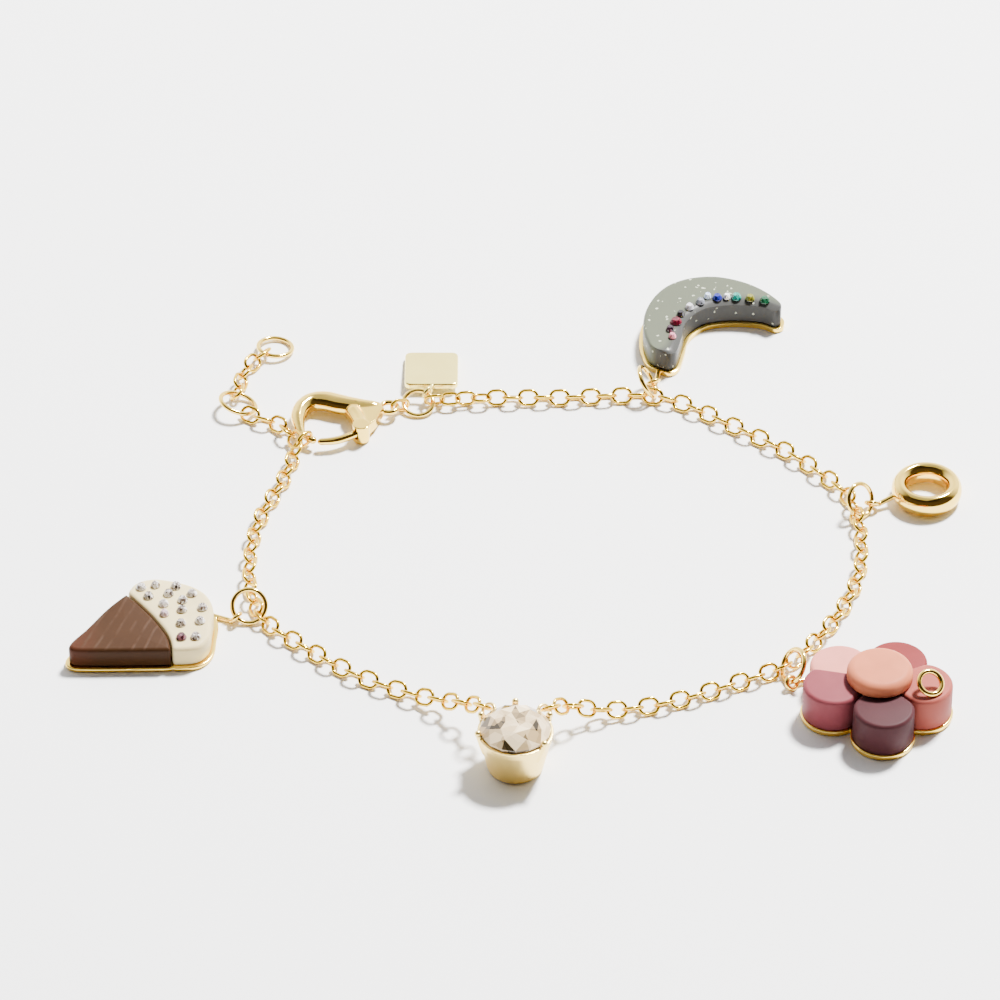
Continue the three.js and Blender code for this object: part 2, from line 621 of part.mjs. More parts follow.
// A closed outline of chosen points, set in or out along its corner bisectors.
function offsetOutline(points, distance) {
  return points.map(([x, y], i) => {
    const before = points[(i + points.length - 1) % points.length];
    const after = points[(i + 1) % points.length];
    const way = new THREE.Vector2(after[0] - before[0], after[1] - before[1]).normalize();
    return [x + way.y * distance, y - way.x * distance];
  });
}

function polygon(points) {
  return new THREE.Shape(points.map(([x, y]) => new THREE.Vector2(x, y)));
}

// Moon: a crescent tray of gold with a resin crescent in it and stones along its crest.
const MOON_PLACE = [21, 26];
const moon = place(bracelet, ...MOON_PLACE, 0, 0);
const MOON_RING = { spot: [15.3, 15.45], lowHeading: 0, lean: 59, side: -1, eye: 46 };
const MOON_EYE_FOOT = [-5.2, -5.2];
const MOON_NOTCH = { place: [-4.6, -6.4], radius: 0.9, height: 1.4 };
const moonRing = ringThrough(chainRight.links, MOON_RING);
const CRESCENT = [
  [-3.8, -6.3], [-3.1, -3.6], [-2.7, -1.4], [-1.9, 0.0], [-0.8, 1.05], [0.9, 1.6], [3.1, 1.7],
  [5.2, 1.35], [6.6, 0.6], [7.0, 1.6], [6.2, 3.0], [4.7, 4.5], [2.9, 5.6], [0.5, 6.3],
  [-2.0, 6.05], [-4.2, 4.9], [-5.7, 3.0], [-6.6, 0.6], [-6.85, -2.2], [-6.3, -4.9],
];
const MOON_STONES = [
  ['stone_moon_plum', -4.2, -2.75, 0.42, 0x3a2430], ['stone_moon_pink', -4.0, -3.9, 0.4, 0xd9a0ac],
  ['stone_moon_maroon', -3.6, -1.5, 0.6, 0x6e1f33], ['stone_moon_black', -3.1, -0.3, 0.42, 0x24222a],
  ['stone_moon_clear_a', -2.2, 0.85, 0.45, 0xe8e8ea], ['stone_moon_grey', -1.1, 1.75, 0.45, 0xb9bcc4],
  ['stone_moon_clear_b', -0.35, 2.6, 0.4, 0xeef0f4], ['stone_moon_blue', 0.6, 2.4, 0.5, 0x2848a8],
  ['stone_moon_white', 1.55, 2.5, 0.38, 0xf2f2f2], ['stone_moon_teal', 2.5, 2.5, 0.52, 0x3fb3b0],
  ['stone_moon_olive', 3.85, 2.3, 0.48, 0xb9b25a], ['stone_moon_green', 5.3, 1.95, 0.52, 0x3f9a55],
];

function makeMoon() {
  const tray = slabSolid(polygon(offsetOutline(CRESCENT, TRAY_LIP)), 0, TRAY_THICKNESS, 0);
  const eye = eyeInGroup(moon, moonRing, MOON_RING.eye, MOON_EYE_FOOT, TRAY_THICKNESS / 2);
  addPiece(moon, 'moon_tray', tray.add(eye), gold);
  const bottom = TRAY_THICKNESS + SEAT;
  const notchTop = bottom + MOON_NOTCH.height;
  const cut = diskSolid(MOON_NOTCH.radius, 0, notchTop, ...MOON_NOTCH.place, 10);
  const body = slabSolid(polygon(CRESCENT), bottom, MOON_THICKNESS, MOON_ROUND).subtract(cut);
  addPiece(moon, 'moon_body', body, { color: 0x8f9088, metalness: 0, roughness: 0.35 });
  const top = bottom + MOON_THICKNESS + SEAT;
  MOON_STONES.forEach(([name, x, y, radius, color], i) => {
    addPiece(moon, name, stoneSolid(x, y, top, radius, i), { color, metalness: 0, roughness: 0.05 });
  });
}
makeMoon();
addPiece(bracelet, 'moon_jump_ring', ringSolid(moonRing), gold);

// Puffed ring: a closed oval-section ring lying on the table.
const PUFF_PLACE = [41.0, 0.3];
const PUFF_RING = { spot: [34.0, -2.4], lowHeading: 319.7, lean: 62, side: -1, eye: 50 };
const PUFF_EYE_FOOT = [-PUFF_RADIUS, -0.6];

function makePuffedRing() {
  const ring = ringThrough(chainRight.links, PUFF_RING);
  const charm = place(bracelet, ...PUFF_PLACE, 0, 0);
  const geometry = new THREE.TorusGeometry(PUFF_RADIUS, PUFF_WIDTH / 2, 8, 20);
  geometry.scale(1, 1, PUFF_THICKNESS / PUFF_WIDTH);
  geometry.translate(0, 0, PUFF_THICKNESS / 2);
  const eye = eyeInGroup(charm, ring, PUFF_RING.eye, PUFF_EYE_FOOT, PUFF_THICKNESS / 2);
  addPiece(charm, 'ring_charm', solidOf(geometry).add(eye), gold);
  addPiece(bracelet, 'ring_jump_ring', ringSolid(ring), gold);
}
makePuffedRing();

// Flower: a gold plate, five resin petals parted by narrow gaps, and a raised middle disk.
const FLOWER_PLACE = [34.9, -30.8];
const FLOWER_RING = { spot: [27.0, -24.7], lowHeading: 200.3, lean: 57, side: -1, eye: 46 };
const FLOWER_EYE_FOOT = [-4.6, 4.6];
const SMALL_RING_PLACE = [4.55, -1.7];
const flower = place(bracelet, ...FLOWER_PLACE, 0, 0);
const PETALS = [
  ['petal_front', -87, 4.12, PETAL_TOP, 0x8d6a72], ['petal_right', -9, 3.96, PETAL_TOP, 0xd8a49a],
  ['petal_back_right', 63, 3.99, BACK_PETAL_TOP, 0xcd8588],
  ['petal_back_left', 139, 4.56, BACK_PETAL_TOP, 0xecc8c6],
  ['petal_left', 190, 4.33, PETAL_TOP, 0xc07c88],
];

function petalMiddle([, heading, distance]) {
  return [distance * Math.cos(degrees(heading)), distance * Math.sin(degrees(heading))];
}

// What lies on this petal's side of the plane halfway to its neighbour, less half the gap.
function petalSide(petal, neighbour) {
  const [x, y] = petalMiddle(petal);
  const [nx, ny] = petalMiddle(neighbour);
  const slab = new THREE.BoxGeometry(20, 20, 20);
  slab.translate(-10 - PETAL_GAP / 2, 0, 0);
  slab.rotateZ(Math.atan2(ny - y, nx - x));
  slab.translate((x + nx) / 2, (y + ny) / 2, 0);
  return solidOf(slab);
}

function roundedPuck(radius, bottom, top, round, sides) {
  const corner = [0, 45, 90].map((angle) => new THREE.Vector2(
    radius - round + round * Math.cos(degrees(angle)),
    top - round + round * Math.sin(degrees(angle))));
  const profile = [new THREE.Vector2(0, bottom), new THREE.Vector2(radius, bottom),
    ...corner, new THREE.Vector2(0, top)];
  return solidOf(new THREE.LatheGeometry(profile, sides).rotateX(Math.PI / 2));
}

function makeFlower() {
  const ring = ringThrough(chainRight.links, FLOWER_RING);
  addPiece(bracelet, 'flower_jump_ring', ringSolid(ring), gold);
  const plates = PETALS.map((petal) => diskSolid(PETAL_RADIUS + FLOWER_LIP, 0, FLOWER_PLATE,
    ...petalMiddle(petal), 14));
  const neckTop = PETAL_TOP + SEAT;
  const neck = diskSolid(NECK_RADIUS, 0, neckTop, 0, 0, 10);
  const hub = diskSolid(PETAL_RADIUS, 0, FLOWER_PLATE, 0, 0, 10);
  const eye = eyeInGroup(flower, ring, FLOWER_RING.eye, FLOWER_EYE_FOOT, FLOWER_PLATE / 2);
  addPiece(flower, 'flower_plate', joined([...plates, hub, neck, eye]), gold);
  const neckHole = diskSolid(NECK_RADIUS + SEAT, 0, neckTop, 0, 0, 10);
  PETALS.forEach((petal, i) => {
    const [name, , , top, color] = petal;
    const [x, y] = petalMiddle(petal);
    let solid = roundedPuck(PETAL_RADIUS, FLOWER_PLATE + SEAT, top, PETAL_ROUND, 18);
    solid = solid.translate([x, y, 0]);
    for (const step of [1, PETALS.length - 1]) {
      solid = solid.intersect(petalSide(petal, PETALS[(i + step) % PETALS.length]));
    }
    addPiece(flower, name, solid.subtract(neckHole), { color, metalness: 0, roughness: 0.5 });
  });
  const base = neckTop + SEAT;
  const middle = roundedPuck(CENTER_RADIUS, base, base + CENTER_THICKNESS, CENTER_ROUND, 18);
  addPiece(flower, 'flower_center', middle, { color: 0xe4beac, metalness: 0, roughness: 0.5 });
  const small = leaningRing(...SMALL_RING_PLACE, SMALL_RING_RADIUS, SMALL_RING_WIRE, 300, 35);
  small.center.z += PETAL_TOP + SEAT;
  addPiece(flower, 'flower_small_ring', ringSolid(small), gold);
}
makeFlower();

// Cone: a gold plate with a brown waffle half and a cream half, stones set in the cream.
const CONE_PLACE = [-40.0, -25.2];
const CONE_TURN = 30;
const CONE_EYE_FOOT = [13.4, 2.4];
const cone = place(bracelet, ...CONE_PLACE, 0, CONE_TURN);
const WAFER = [
  [0.1, 0.6], [1.3, -0.6], [4.9, -2.75], [8.35, -4.65], [8.95, -2.9], [9.1, -0.3], [8.9, 2.4],
  [8.55, 4.9], [6.0, 3.9], [2.9, 2.2],
];
const CREAM = [
  [8.35, -4.65], [10.6, -5.6], [12.1, -4.9], [13.4, -3.1], [14.6, -1.2], [15.0, 0.9],
  [14.5, 2.6], [13.2, 4.3], [11.6, 5.6], [9.9, 5.9], [8.55, 4.9], [8.9, 2.4], [9.1, -0.3],
  [8.95, -2.9],
];
const CONE_STONES = [
  [10.0, 4.7, 0.5], [11.3, 4.3, 0.45], [12.9, 3.2, 0.5], [13.7, 1.5, 0.5], [10.0, 3.2, 0.5],
  [11.8, 2.6, 0.5], [10.7, 1.5, 0.5], [12.5, 1.1, 0.5], [10.1, 0.2, 0.45], [11.8, -0.1, 0.5],
  [10.8, -1.8, 0.5], [13.6, -0.8, 0.5], [12.5, -2.4, 0.5], [11.1, -4.2, 0.5], [9.9, -3.6, 0.5],
];

function shrunk(points, distance) {
  return polygon(offsetOutline(points, -distance));
}

function makeCone() {
  const ring = ringThrough(chainLeft.links, CONE_RING);
  addPiece(bracelet, 'cone_jump_ring', ringSolid(ring), gold);
  const plates = [WAFER, CREAM].map((half) => slabSolid(
    polygon(offsetOutline(half, CONE_LIP)), 0, CONE_PLATE, 0));
  const eye = eyeInGroup(cone, ring, CONE_RING.eye, CONE_EYE_FOOT, CONE_PLATE / 2);
  addPiece(cone, 'cone_plate', joined([...plates, eye]), gold);
  const bottom = CONE_PLATE + SEAT;
  const wafer = slabSolid(shrunk(WAFER, CONE_SEAM / 2), bottom, CONE_THICKNESS, CONE_ROUND);
  const cream = slabSolid(shrunk(CREAM, CONE_SEAM / 2), bottom, CONE_THICKNESS, CONE_ROUND);
  addPiece(cone, 'cone_wafer', wafer, { color: 0x8b624c, metalness: 0, roughness: 0.45 });
  addPiece(cone, 'cone_cream', cream, { color: 0xe8e0cd, metalness: 0, roughness: 0.45 });
  const top = bottom + CONE_THICKNESS + SEAT;
  CONE_STONES.forEach(([x, y, radius], i) => {
    const name = `stone_cone_${String(i + 1).padStart(2, '0')}`;
    const look = { color: 0xdfe2e6, metalness: 0, roughness: 0.05 };
    addPiece(cone, name, stoneSolid(x, y, top, radius, i), look);
  });
}
makeCone();

// The origin is under the middle of the whole bracelet, on the table.
const braceletBox = new THREE.Box3().setFromObject(bracelet, true);
const middle = braceletBox.getCenter(new THREE.Vector3());
bracelet.position.set(-middle.x, -middle.y, -braceletBox.min.z);

export default bracelet;
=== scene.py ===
import bmesh
import bpy
import numpy as np
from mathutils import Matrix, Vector


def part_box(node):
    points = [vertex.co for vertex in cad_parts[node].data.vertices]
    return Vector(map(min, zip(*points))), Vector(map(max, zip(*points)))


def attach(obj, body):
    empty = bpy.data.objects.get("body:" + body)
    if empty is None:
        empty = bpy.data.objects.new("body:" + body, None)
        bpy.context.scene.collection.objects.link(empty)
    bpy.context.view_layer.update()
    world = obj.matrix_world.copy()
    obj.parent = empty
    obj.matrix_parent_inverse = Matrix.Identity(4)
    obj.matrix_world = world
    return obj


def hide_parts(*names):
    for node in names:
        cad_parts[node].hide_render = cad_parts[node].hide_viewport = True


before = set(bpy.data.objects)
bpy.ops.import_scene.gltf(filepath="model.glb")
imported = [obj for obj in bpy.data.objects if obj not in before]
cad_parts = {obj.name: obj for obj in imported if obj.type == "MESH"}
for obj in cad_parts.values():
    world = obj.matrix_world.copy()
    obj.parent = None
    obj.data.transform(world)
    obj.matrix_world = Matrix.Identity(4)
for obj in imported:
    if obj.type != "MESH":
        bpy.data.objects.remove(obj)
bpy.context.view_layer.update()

# The table and the light. The bracelet lies on a plain pale table, seen from the front and
# well above. One lamp stands at the right and behind, and throws short shadows to the left
# and front. The room is bright at the back, and a broad weak lamp hangs overhead.
MM = 0.001
CAMERA_ELEVATION = np.radians(39.0)
CAMERA_DISTANCE = 600 * MM
CAMERA_FOCUS_SHARE = 6.24
SENSOR_WIDTH = 36.0
FLOOR_SIZE = 2.4
FLOOR_TONE = 0.92
FLOWER_PLACE = np.array([34.9, -30.8])
DISK_BASE = 4.02
KEY_LAMP = {"way": (0.42, 0.56, 1.05), "distance": 0.9, "size": 0.14, "watts": 46.0,
            "tint": (1.0, 0.995, 0.985)}
TOP_LAMP = {"way": (-0.1, 0.05, 1.0), "distance": 0.8, "size": 0.6, "watts": 0.8,
            "tint": (1.0, 1.0, 1.0)}


def layout_shift():
    """From the layout, which has the photo's middle as its origin, to the frame: the middle
    and the underside of the flower's disk in the frame, less where the layout has them."""
    low, high = (np.array(corner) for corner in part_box("flower_center"))
    middle = (low + high) / 2
    return np.array([middle[0], middle[1], low[2]]) / MM - np.append(FLOWER_PLACE, DISK_BASE)


SHIFT = layout_shift()


def add_camera():
    """The camera looks at the layout's origin along its elevation, straight from the front."""
    data = bpy.data.cameras.new("camera")
    data.sensor_width = SENSOR_WIDTH
    data.lens = CAMERA_FOCUS_SHARE * SENSOR_WIDTH
    data.clip_start, data.clip_end = 0.01, 10
    camera = bpy.data.objects.new("camera", data)
    back = Vector((0, -np.cos(CAMERA_ELEVATION), np.sin(CAMERA_ELEVATION)))
    camera.location = Vector(SHIFT * MM) + back * CAMERA_DISTANCE
    camera.rotation_mode = "QUATERNION"
    camera.rotation_quaternion = (-back).to_track_quat("-Z", "Y")
    bpy.context.collection.objects.link(camera)
    bpy.context.scene.camera = camera


def add_lamp(name, way, distance, size, watts, tint):
    """A square lamp out along a direction from the origin, which it faces."""
    data = bpy.data.lights.new(name, "AREA")
    data.size = size
    data.energy = watts
    data.color = tint
    lamp = bpy.data.objects.new(name, data)
    heading = Vector(way).normalized()
    lamp.location = heading * distance
    lamp.rotation_mode = "QUATERNION"
    lamp.rotation_quaternion = heading.to_track_quat("Z", "Y")
    bpy.context.collection.objects.link(lamp)


def set_inputs(tree, node, inputs):
    """Each named input is wired where it is given a socket, and set where it is given a value."""
    for name, value in inputs.items():
        if isinstance(value, bpy.types.NodeSocket):
            tree.links.new(value, node.inputs[name])
        else:
            node.inputs[name].default_value = value


def add_node(tree, kind, inputs=None):
    node = tree.nodes.new("ShaderNode" + kind)
    set_inputs(tree, node, inputs or {})
    return node


def add_range(tree, value, start, end, first=0.0, last=1.0):
    """A value made to run from first to last while it goes from start to end."""
    return add_node(tree, "MapRange", {"Value": value, "From Min": start, "From Max": end,
                                       "To Min": first, "To Max": last}).outputs["Result"]


def add_ramp(tree, value, *stops):
    """A value turned into a colour by stops, each a position and a colour."""
    ramp = add_node(tree, "ValToRGB", {"Fac": value})
    elements = ramp.color_ramp.elements
    for element, (position, color) in zip(list(elements), (stops[0], stops[-1])):
        element.position, element.color = position, (*color, 1)
    for position, color in stops[1:-1]:
        elements.new(position).color = (*color, 1)
    return ramp


def new_material(name):
    material = bpy.data.materials.new(name)
    material.use_nodes = True
    return material, material.node_tree, material.node_tree.nodes["Principled BSDF"]


def add_floor():
    """A square at height nought, in a plain matt material."""
    half = FLOOR_SIZE / 2
    mesh = bpy.data.meshes.new("table_top")
    corners = [(-half, -half, 0), (half, -half, 0), (half, half, 0), (-half, half, 0)]
    mesh.from_pydata(corners, [], [(0, 1, 2, 3)])
    material, tree, shader = new_material("pale_table")
    set_inputs(tree, shader, {"Base Color": (FLOOR_TONE, FLOOR_TONE, FLOOR_TONE * 1.004, 1),
                              "Roughness": 0.9, "Specular IOR Level": 0.1})
    mesh.materials.append(material)
    floor = bpy.data.objects.new("table_top", mesh)
    bpy.context.collection.objects.link(floor)


def add_world():
    """A room that is bright behind the table and dark overhead and in front, so that metal shows
    both. Brightness follows the way back through a ramp and falls off towards straight up."""
    world = bpy.data.worlds.new("room")
    bpy.context.scene.world = world
    world.use_nodes = True
    tree = world.node_tree
    place = add_node(tree, "TexCoord").outputs["Generated"]
    split = add_node(tree, "SeparateXYZ", {"Vector": place}).outputs
    backward = add_range(tree, split["Y"], -0.1, 0.9)
    upward = add_range(tree, split["Z"], 0.55, 0.95, 3.2, 0.3)
    glow = add_ramp(tree, backward, (0.0, (0.03, 0.022, 0.018)), (0.75, (1.0, 1.0, 1.0)))
    set_inputs(tree, tree.nodes["Background"], {"Color": glow.outputs["Color"], "Strength": upward})


add_camera()
add_floor()
add_world()
add_lamp("key_lamp", **KEY_LAMP)
add_lamp("top_lamp", **TOP_LAMP)

# The chain is a fine cable chain of oval links bent from pale gold-plated wire. Each link
# holds the next a quarter turn round, at 45 degrees to the table on one side or the other.
# One part runs from the tag's ring round the right to the crystal, one from the crystal past
# the clasp's claw to the middle ring, and a short one to the end ring.
CHAIN_WIRE, DRAWN_WIRE = 0.3, 0.34
LINK_WIDTH = 1.75
LINK_PITCH = 1.535
LINK_CLEARANCE = 0.012
LINK_ROLL = 45.0
START_TWIST = 65.0
TWIST_LINKS = 6
CHAIN_LIFT = (LINK_WIDTH - CHAIN_WIRE) / 2 * np.sin(np.radians(LINK_ROLL)) + CHAIN_WIRE / 2
RING_PLAY = 0.36
RING_WIRE = 0.45
CUP_LOOP_WIRE = 0.35
ROUTE_RIGHT = [
    (-4.6, 14.65, 0.9), (0.0, 14.95, 0.8), (6.2, 15.1), (12.35, 15.45), (15.3, 15.3),
    (17.8, 14.25), (22.6, 10.75), (28.1, 6.4), (31.1, 3.1), (33.35, 0.0), (34.25, -3.9),
    (34.4, -7.5), (34.0, -11.8), (32.2, -17.0), (29.9, -21.1), (26.7, -25.1), (21.6, -27.9),
    (15.9, -30.4), (12.0, -31.5, 0.74), (9.0, -32.3, 1.3), (6.3, -33.3, 2.7),
]
ROUTE_LEFT = [
    (-2.75, -33.4, 3.0), (-5.3, -31.3, 1.6), (-8.4, -29.3, 0.74), (-13.9, -26.2),
    (-18.3, -22.5), (-22.0, -18.9), (-23.4, -15.1), (-23.7, -9.2), (-23.0, -3.9),
    (-20.9, 2.2), (-19.9, 6.2),
]
ROUTE_HELD = [(-20.8, 9.9, 0.85), (-21.9, 11.2), (-23.3, 11.7)]
ROUTE_END = [(-25.5, 17.5), (-25.15, 19.2), (-24.4, 20.8)]


def unit(vectors):
    return vectors / np.linalg.norm(vectors, axis=-1, keepdims=True)


def smooth_line(points, samples=3001):
    """A curve through points: in each stretch a cubic whose end slopes weigh the chords beside
    it by the square roots of their lengths. The ends are carried on by a mirrored point."""
    points = np.asarray(points, float)
    whole = np.vstack([2 * points[0] - points[1], points, 2 * points[-1] - points[-2]])
    share = np.linspace(0, len(points) - 1, samples)
    index = np.minimum(share.astype(int), len(points) - 2)
    t = (share - index)[:, None]
    a, b, c, d = (whole[index + k] for k in range(4))
    ab, bc, cd = (np.linalg.norm(q - p, axis=1)[:, None] ** 0.5 for p, q in ((a, b), (b, c), (c, d)))
    slope_b = ((b - a) / ab - (c - a) / (ab + bc) + (c - b) / bc) * bc
    slope_c = ((c - b) / bc - (d - b) / (bc + cd) + (d - c) / cd) * bc
    cubic = 2 * b - 2 * c + slope_b + slope_c
    square = 3 * c - 3 * b - 2 * slope_b - slope_c
    return b + slope_b * t + square * t ** 2 + cubic * t ** 3


def run_along(line):
    """The length of a line up to each of its points."""
    return np.append(0, np.cumsum(np.linalg.norm(np.diff(line, axis=0), axis=1)))


def read_off(wanted, known, line, period=None):
    """The points of a line, known at some lengths, at the wanted lengths."""
    return np.stack([np.interp(wanted, known, column, period=period) for column in line.T], axis=1)


def turns(count, first=0.0):
    """Even steps of a whole turn."""
    return (np.arange(count) + first) * 2 * np.pi / count


def ways_of(turn):
    """The level ways at given turns, by their two coordinates."""
    return np.stack([np.cos(turn), np.sin(turn)], axis=-1)


def leaning_ring(x, y, radius, wire, low_heading, lean):
    """A ring on the table, by its middle, the heading of its lowest point and its lean."""
    low, tilt = np.radians([low_heading, lean])
    downhill = np.array([np.cos(low) * np.cos(tilt), np.sin(low) * np.cos(tilt), -np.sin(tilt)])
    across = np.array([-np.sin(low), np.cos(low), 0])
    center = np.array([x, y, radius * np.sin(tilt) + wire / 2])
    axis = np.cross(downhill, across)
    return {"center": center, "radius": radius, "wire": wire, "downhill": downhill,
            "across": across, "axis": axis}


def on_ring(ring, angle):
    """The wire's middle at an angle from the lowest point, the way out, and the wire's way."""
    turn = np.radians(angle)
    out = ring["downhill"] * np.cos(turn) + ring["across"] * np.sin(turn)
    return ring["center"] + out * ring["radius"], out, np.cross(ring["axis"], out)


def chain_links(start, route, end, start_reach, end_reach, first_roll, twist=0.0):
    """Link i spans the i-th equal share of the line, which is carried on straight by each
    reach. Its face is the level normal of its span, turned by its roll and a quarter turn."""
    raised = [p if len(p) == 3 else (*p, CHAIN_LIFT) for p in route]
    line = smooth_line([start, *raised, end])
    lengths = run_along(line)
    whole = lengths[-1] + start_reach + end_reach
    count = round(whole / LINK_PITCH)
    wanted = np.linspace(-start_reach, lengths[-1] + end_reach, count + 1)
    inside = np.clip(wanted, 0, lengths[-1])
    stops = read_off(inside, lengths, line)
    first_way, last_way = unit(line[1] - line[0]), unit(line[-1] - line[-2])
    past = (wanted - inside)[:, None]
    stops = stops + np.where(past < 0, past * first_way, past * last_way)
    span = np.linalg.norm(np.diff(stops, axis=0), axis=1)
    along = unit(np.diff(stops, axis=0))
    left = unit(np.stack([-along[:, 1], along[:, 0], np.zeros(count)], axis=1))
    number = np.arange(count)
    roll = np.where(number % 2 == 0, first_roll, first_roll - 90)
    roll = roll + twist * np.maximum(0, 1 - number / TWIST_LINKS)
    turn = np.radians(roll + 90)[:, None]
    face = left * np.cos(turn) + np.cross(along, left) * np.sin(turn)
    return {"center": (stops[1:] + stops[:-1]) / 2, "along": along, "face": face, "span": span}


def quads(rows, columns, rows_close=True):
    """Faces between neighbouring rows of a grid whose columns close on themselves."""
    row = np.arange(rows if rows_close else rows - 1)[:, None]
    column = np.arange(columns)[None, :]
    here, there = row * columns, (row + 1) % rows * columns
    after = (column + 1) % columns
    grid = np.stack([here + column, there + column, there + after, here + after], axis=-1)
    return grid.reshape(-1, 4)


def wire_skin(middle, out, face, wire, sides):
    """A round wire that closes on itself: circles about the points of its middle line, each
    between the way out and the way of its face."""
    psi = turns(sides)
    section = np.cos(psi)[None, :, None] * out[:, None, :] + np.sin(psi)[None, :, None] * face
    points = middle[:, None, :] + section * wire / 2
    return points.reshape(-1, 3), quads(len(middle), sides)[:, ::-1].tolist()


def link_shell(center, along, face, span, width=LINK_WIDTH, sides=8, steps=22):
    """A wire round an oval: two half circles and the straight between them, which together
    leave a hole of the span and a hair of clearance."""
    radius = (width - CHAIN_WIRE) / 2
    straight = (span + LINK_CLEARANCE + CHAIN_WIRE) / 2 - radius
    phi = turns(steps, 0.5)
    true_side = np.cross(face, along)
    out = np.cos(phi)[:, None] * along + np.sin(phi)[:, None] * true_side
    middle = center + out * radius + np.sign(np.cos(phi))[:, None] * straight * along
    return wire_skin(middle, out, face, DRAWN_WIRE, sides)


def ring_shell(center, first, axis, radius, wire, sides=12, steps=48):
    """A round wire carried round a circle in the plane square to the axis."""
    second = np.cross(axis, first)
    phi = turns(steps)
    out = np.cos(phi)[:, None] * first + np.sin(phi)[:, None] * second
    return wire_skin(center + out * radius, out, axis, wire, sides)


def finish_piece(name, mesh, material, nodes, body="bracelet"):
    """An object for a finished mesh in metres, riding on its body in place of its nodes."""
    mesh.materials.append(material)
    piece = bpy.data.objects.new(name, mesh)
    bpy.context.collection.objects.link(piece)
    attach(piece, body)
    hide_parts(*nodes)


def mesh_of(name, shells, scale=MM, smooth=True):
    """One mesh of closed shells, from the layout's millimetres to the frame's metres."""
    mesh = bpy.data.meshes.new(name)
    faces, start = [], 0
    for shell_points, shell_faces in shells:
        faces += [[start + corner for corner in face] for face in shell_faces]
        start += len(shell_points)
    moved = (np.vstack([shell[0] for shell in shells]) + (SHIFT if scale == MM else 0)) * scale
    mesh.from_pydata(moved.tolist(), [], faces)
    mesh.shade_smooth() if smooth else mesh.shade_flat()
    return mesh


def gold_material(name, roughness, tone):
    """Polished gold plate: a metal whose gloss and colour drift a little, with fine waviness."""
    material, tree, shader = new_material(name)
    place = add_node(tree, "TexCoord").outputs["Object"]
    cloud = add_node(tree, "TexNoise", {"Vector": place, "Scale": 700, "Detail": 3}).outputs["Fac"]
    tint = add_ramp(tree, cloud, (0.0, np.array(tone) * (0.96, 0.92, 0.85)), (1.0, tone))
    bump = add_node(tree, "Bump", {"Height": cloud, "Strength": 0.05, "Distance": 0.00005})
    set_inputs(tree, shader, {
        "Metallic": 1.0, "Base Color": tint.outputs["Color"], "Normal": bump.outputs["Normal"],
        "Roughness": add_range(tree, cloud, 0.0, 1.0, roughness * 0.75, roughness * 1.35),
    })
    return material


GOLD_TONE = (1.0, 0.71, 0.15)
# Painted shade: the chain's gold is a darker copy of the other gold, standing for the dark reflections in
# its many small wires.
chain_gold = gold_material("chain_gold", 0.14, (0.86, 0.56, 0.055))

CRYSTAL_PLACE = np.array([1.4, -38.6, 0.0])
CUP_HEIGHT, CUP_RIM_RADIUS, CUP_BASE_RADIUS = 4.3, 3.5, 2.57
CUP_LOOP_RADIUS, CUP_LOOP_SINK, CUP_LOOP_DROP = 0.65, 0.1, 0.4
LOOP_HEADINGS = {"left": 127.0, "right": 49.0}
TAG_RING = leaning_ring(-8.0, 14.2, 1.45, RING_WIRE, 270, 20)
MID_RING = leaning_ring(-25.6, 14.0, 1.8, RING_WIRE, 20, 20)
END_RING = leaning_ring(-22.25, 23.5, 1.68, RING_WIRE, 48, 7.5)
CLASP_LENGTH = 10.3
CLASP_PLACE = np.array([-10.84, 13.11, 1.02])
CLASP_TURN = np.radians(16.3)
TIP_WIRE = 0.6
HELD_SHARE, HELD_SINK, HELD_SLACK = 0.1, 0.1, 0.03
TAG_CHAIN_SIDE, TAG_SMALL_SIDE, MID_CHAIN_SIDES, END_CHAIN_SIDE = 104, -80, (-74, 76), 180
CLAW_LINE = np.array([
    (-0.795, -0.305), (-0.86, -0.24), (-0.892, -0.15), (-0.888, -0.03), (-0.862, 0.1),
    (-0.79, 0.22), (-0.68, 0.285), (-0.56, 0.265), (-0.44, 0.18), (-0.3, 0.09),
    (-0.14, 0.03), (-0.05, 0.0),
]) * CLASP_LENGTH


def loop_point(side, more):
    """The middle of a loop at the cup's back, or a point further out from it."""
    reach = CUP_RIM_RADIUS - CUP_LOOP_SINK + CUP_LOOP_RADIUS + more
    way = ways_of(np.radians(LOOP_HEADINGS[side]))
    return CRYSTAL_PLACE + np.append(reach * way, CUP_HEIGHT - CUP_LOOP_DROP)


def turned(points, angle):
    """Points turned about the upright axis."""
    x, y, z = np.moveaxis(np.asarray(points, float), -1, 0)
    cos, sin = np.cos(angle), np.sin(angle)
    return np.stack([x * cos - y * sin, x * sin + y * cos, z], axis=-1)


def level(points):
    """Points of a plane, given a height of nought."""
    return np.pad(np.asarray(points, float), ((0, 0), (0, 1)))


def from_clasp(points):
    """Points of the clasp's own plane, turned and moved to where the clasp lies."""
    return turned(points, CLASP_TURN) + CLASP_PLACE


ring_reach = RING_WIRE / 2 + RING_PLAY
loop_reach = CUP_LOOP_WIRE / 2 + RING_PLAY
right_links = chain_links(on_ring(TAG_RING, TAG_CHAIN_SIDE)[0], ROUTE_RIGHT,
                          loop_point("right", CUP_LOOP_RADIUS), ring_reach, loop_reach, LINK_ROLL,
                          START_TWIST)

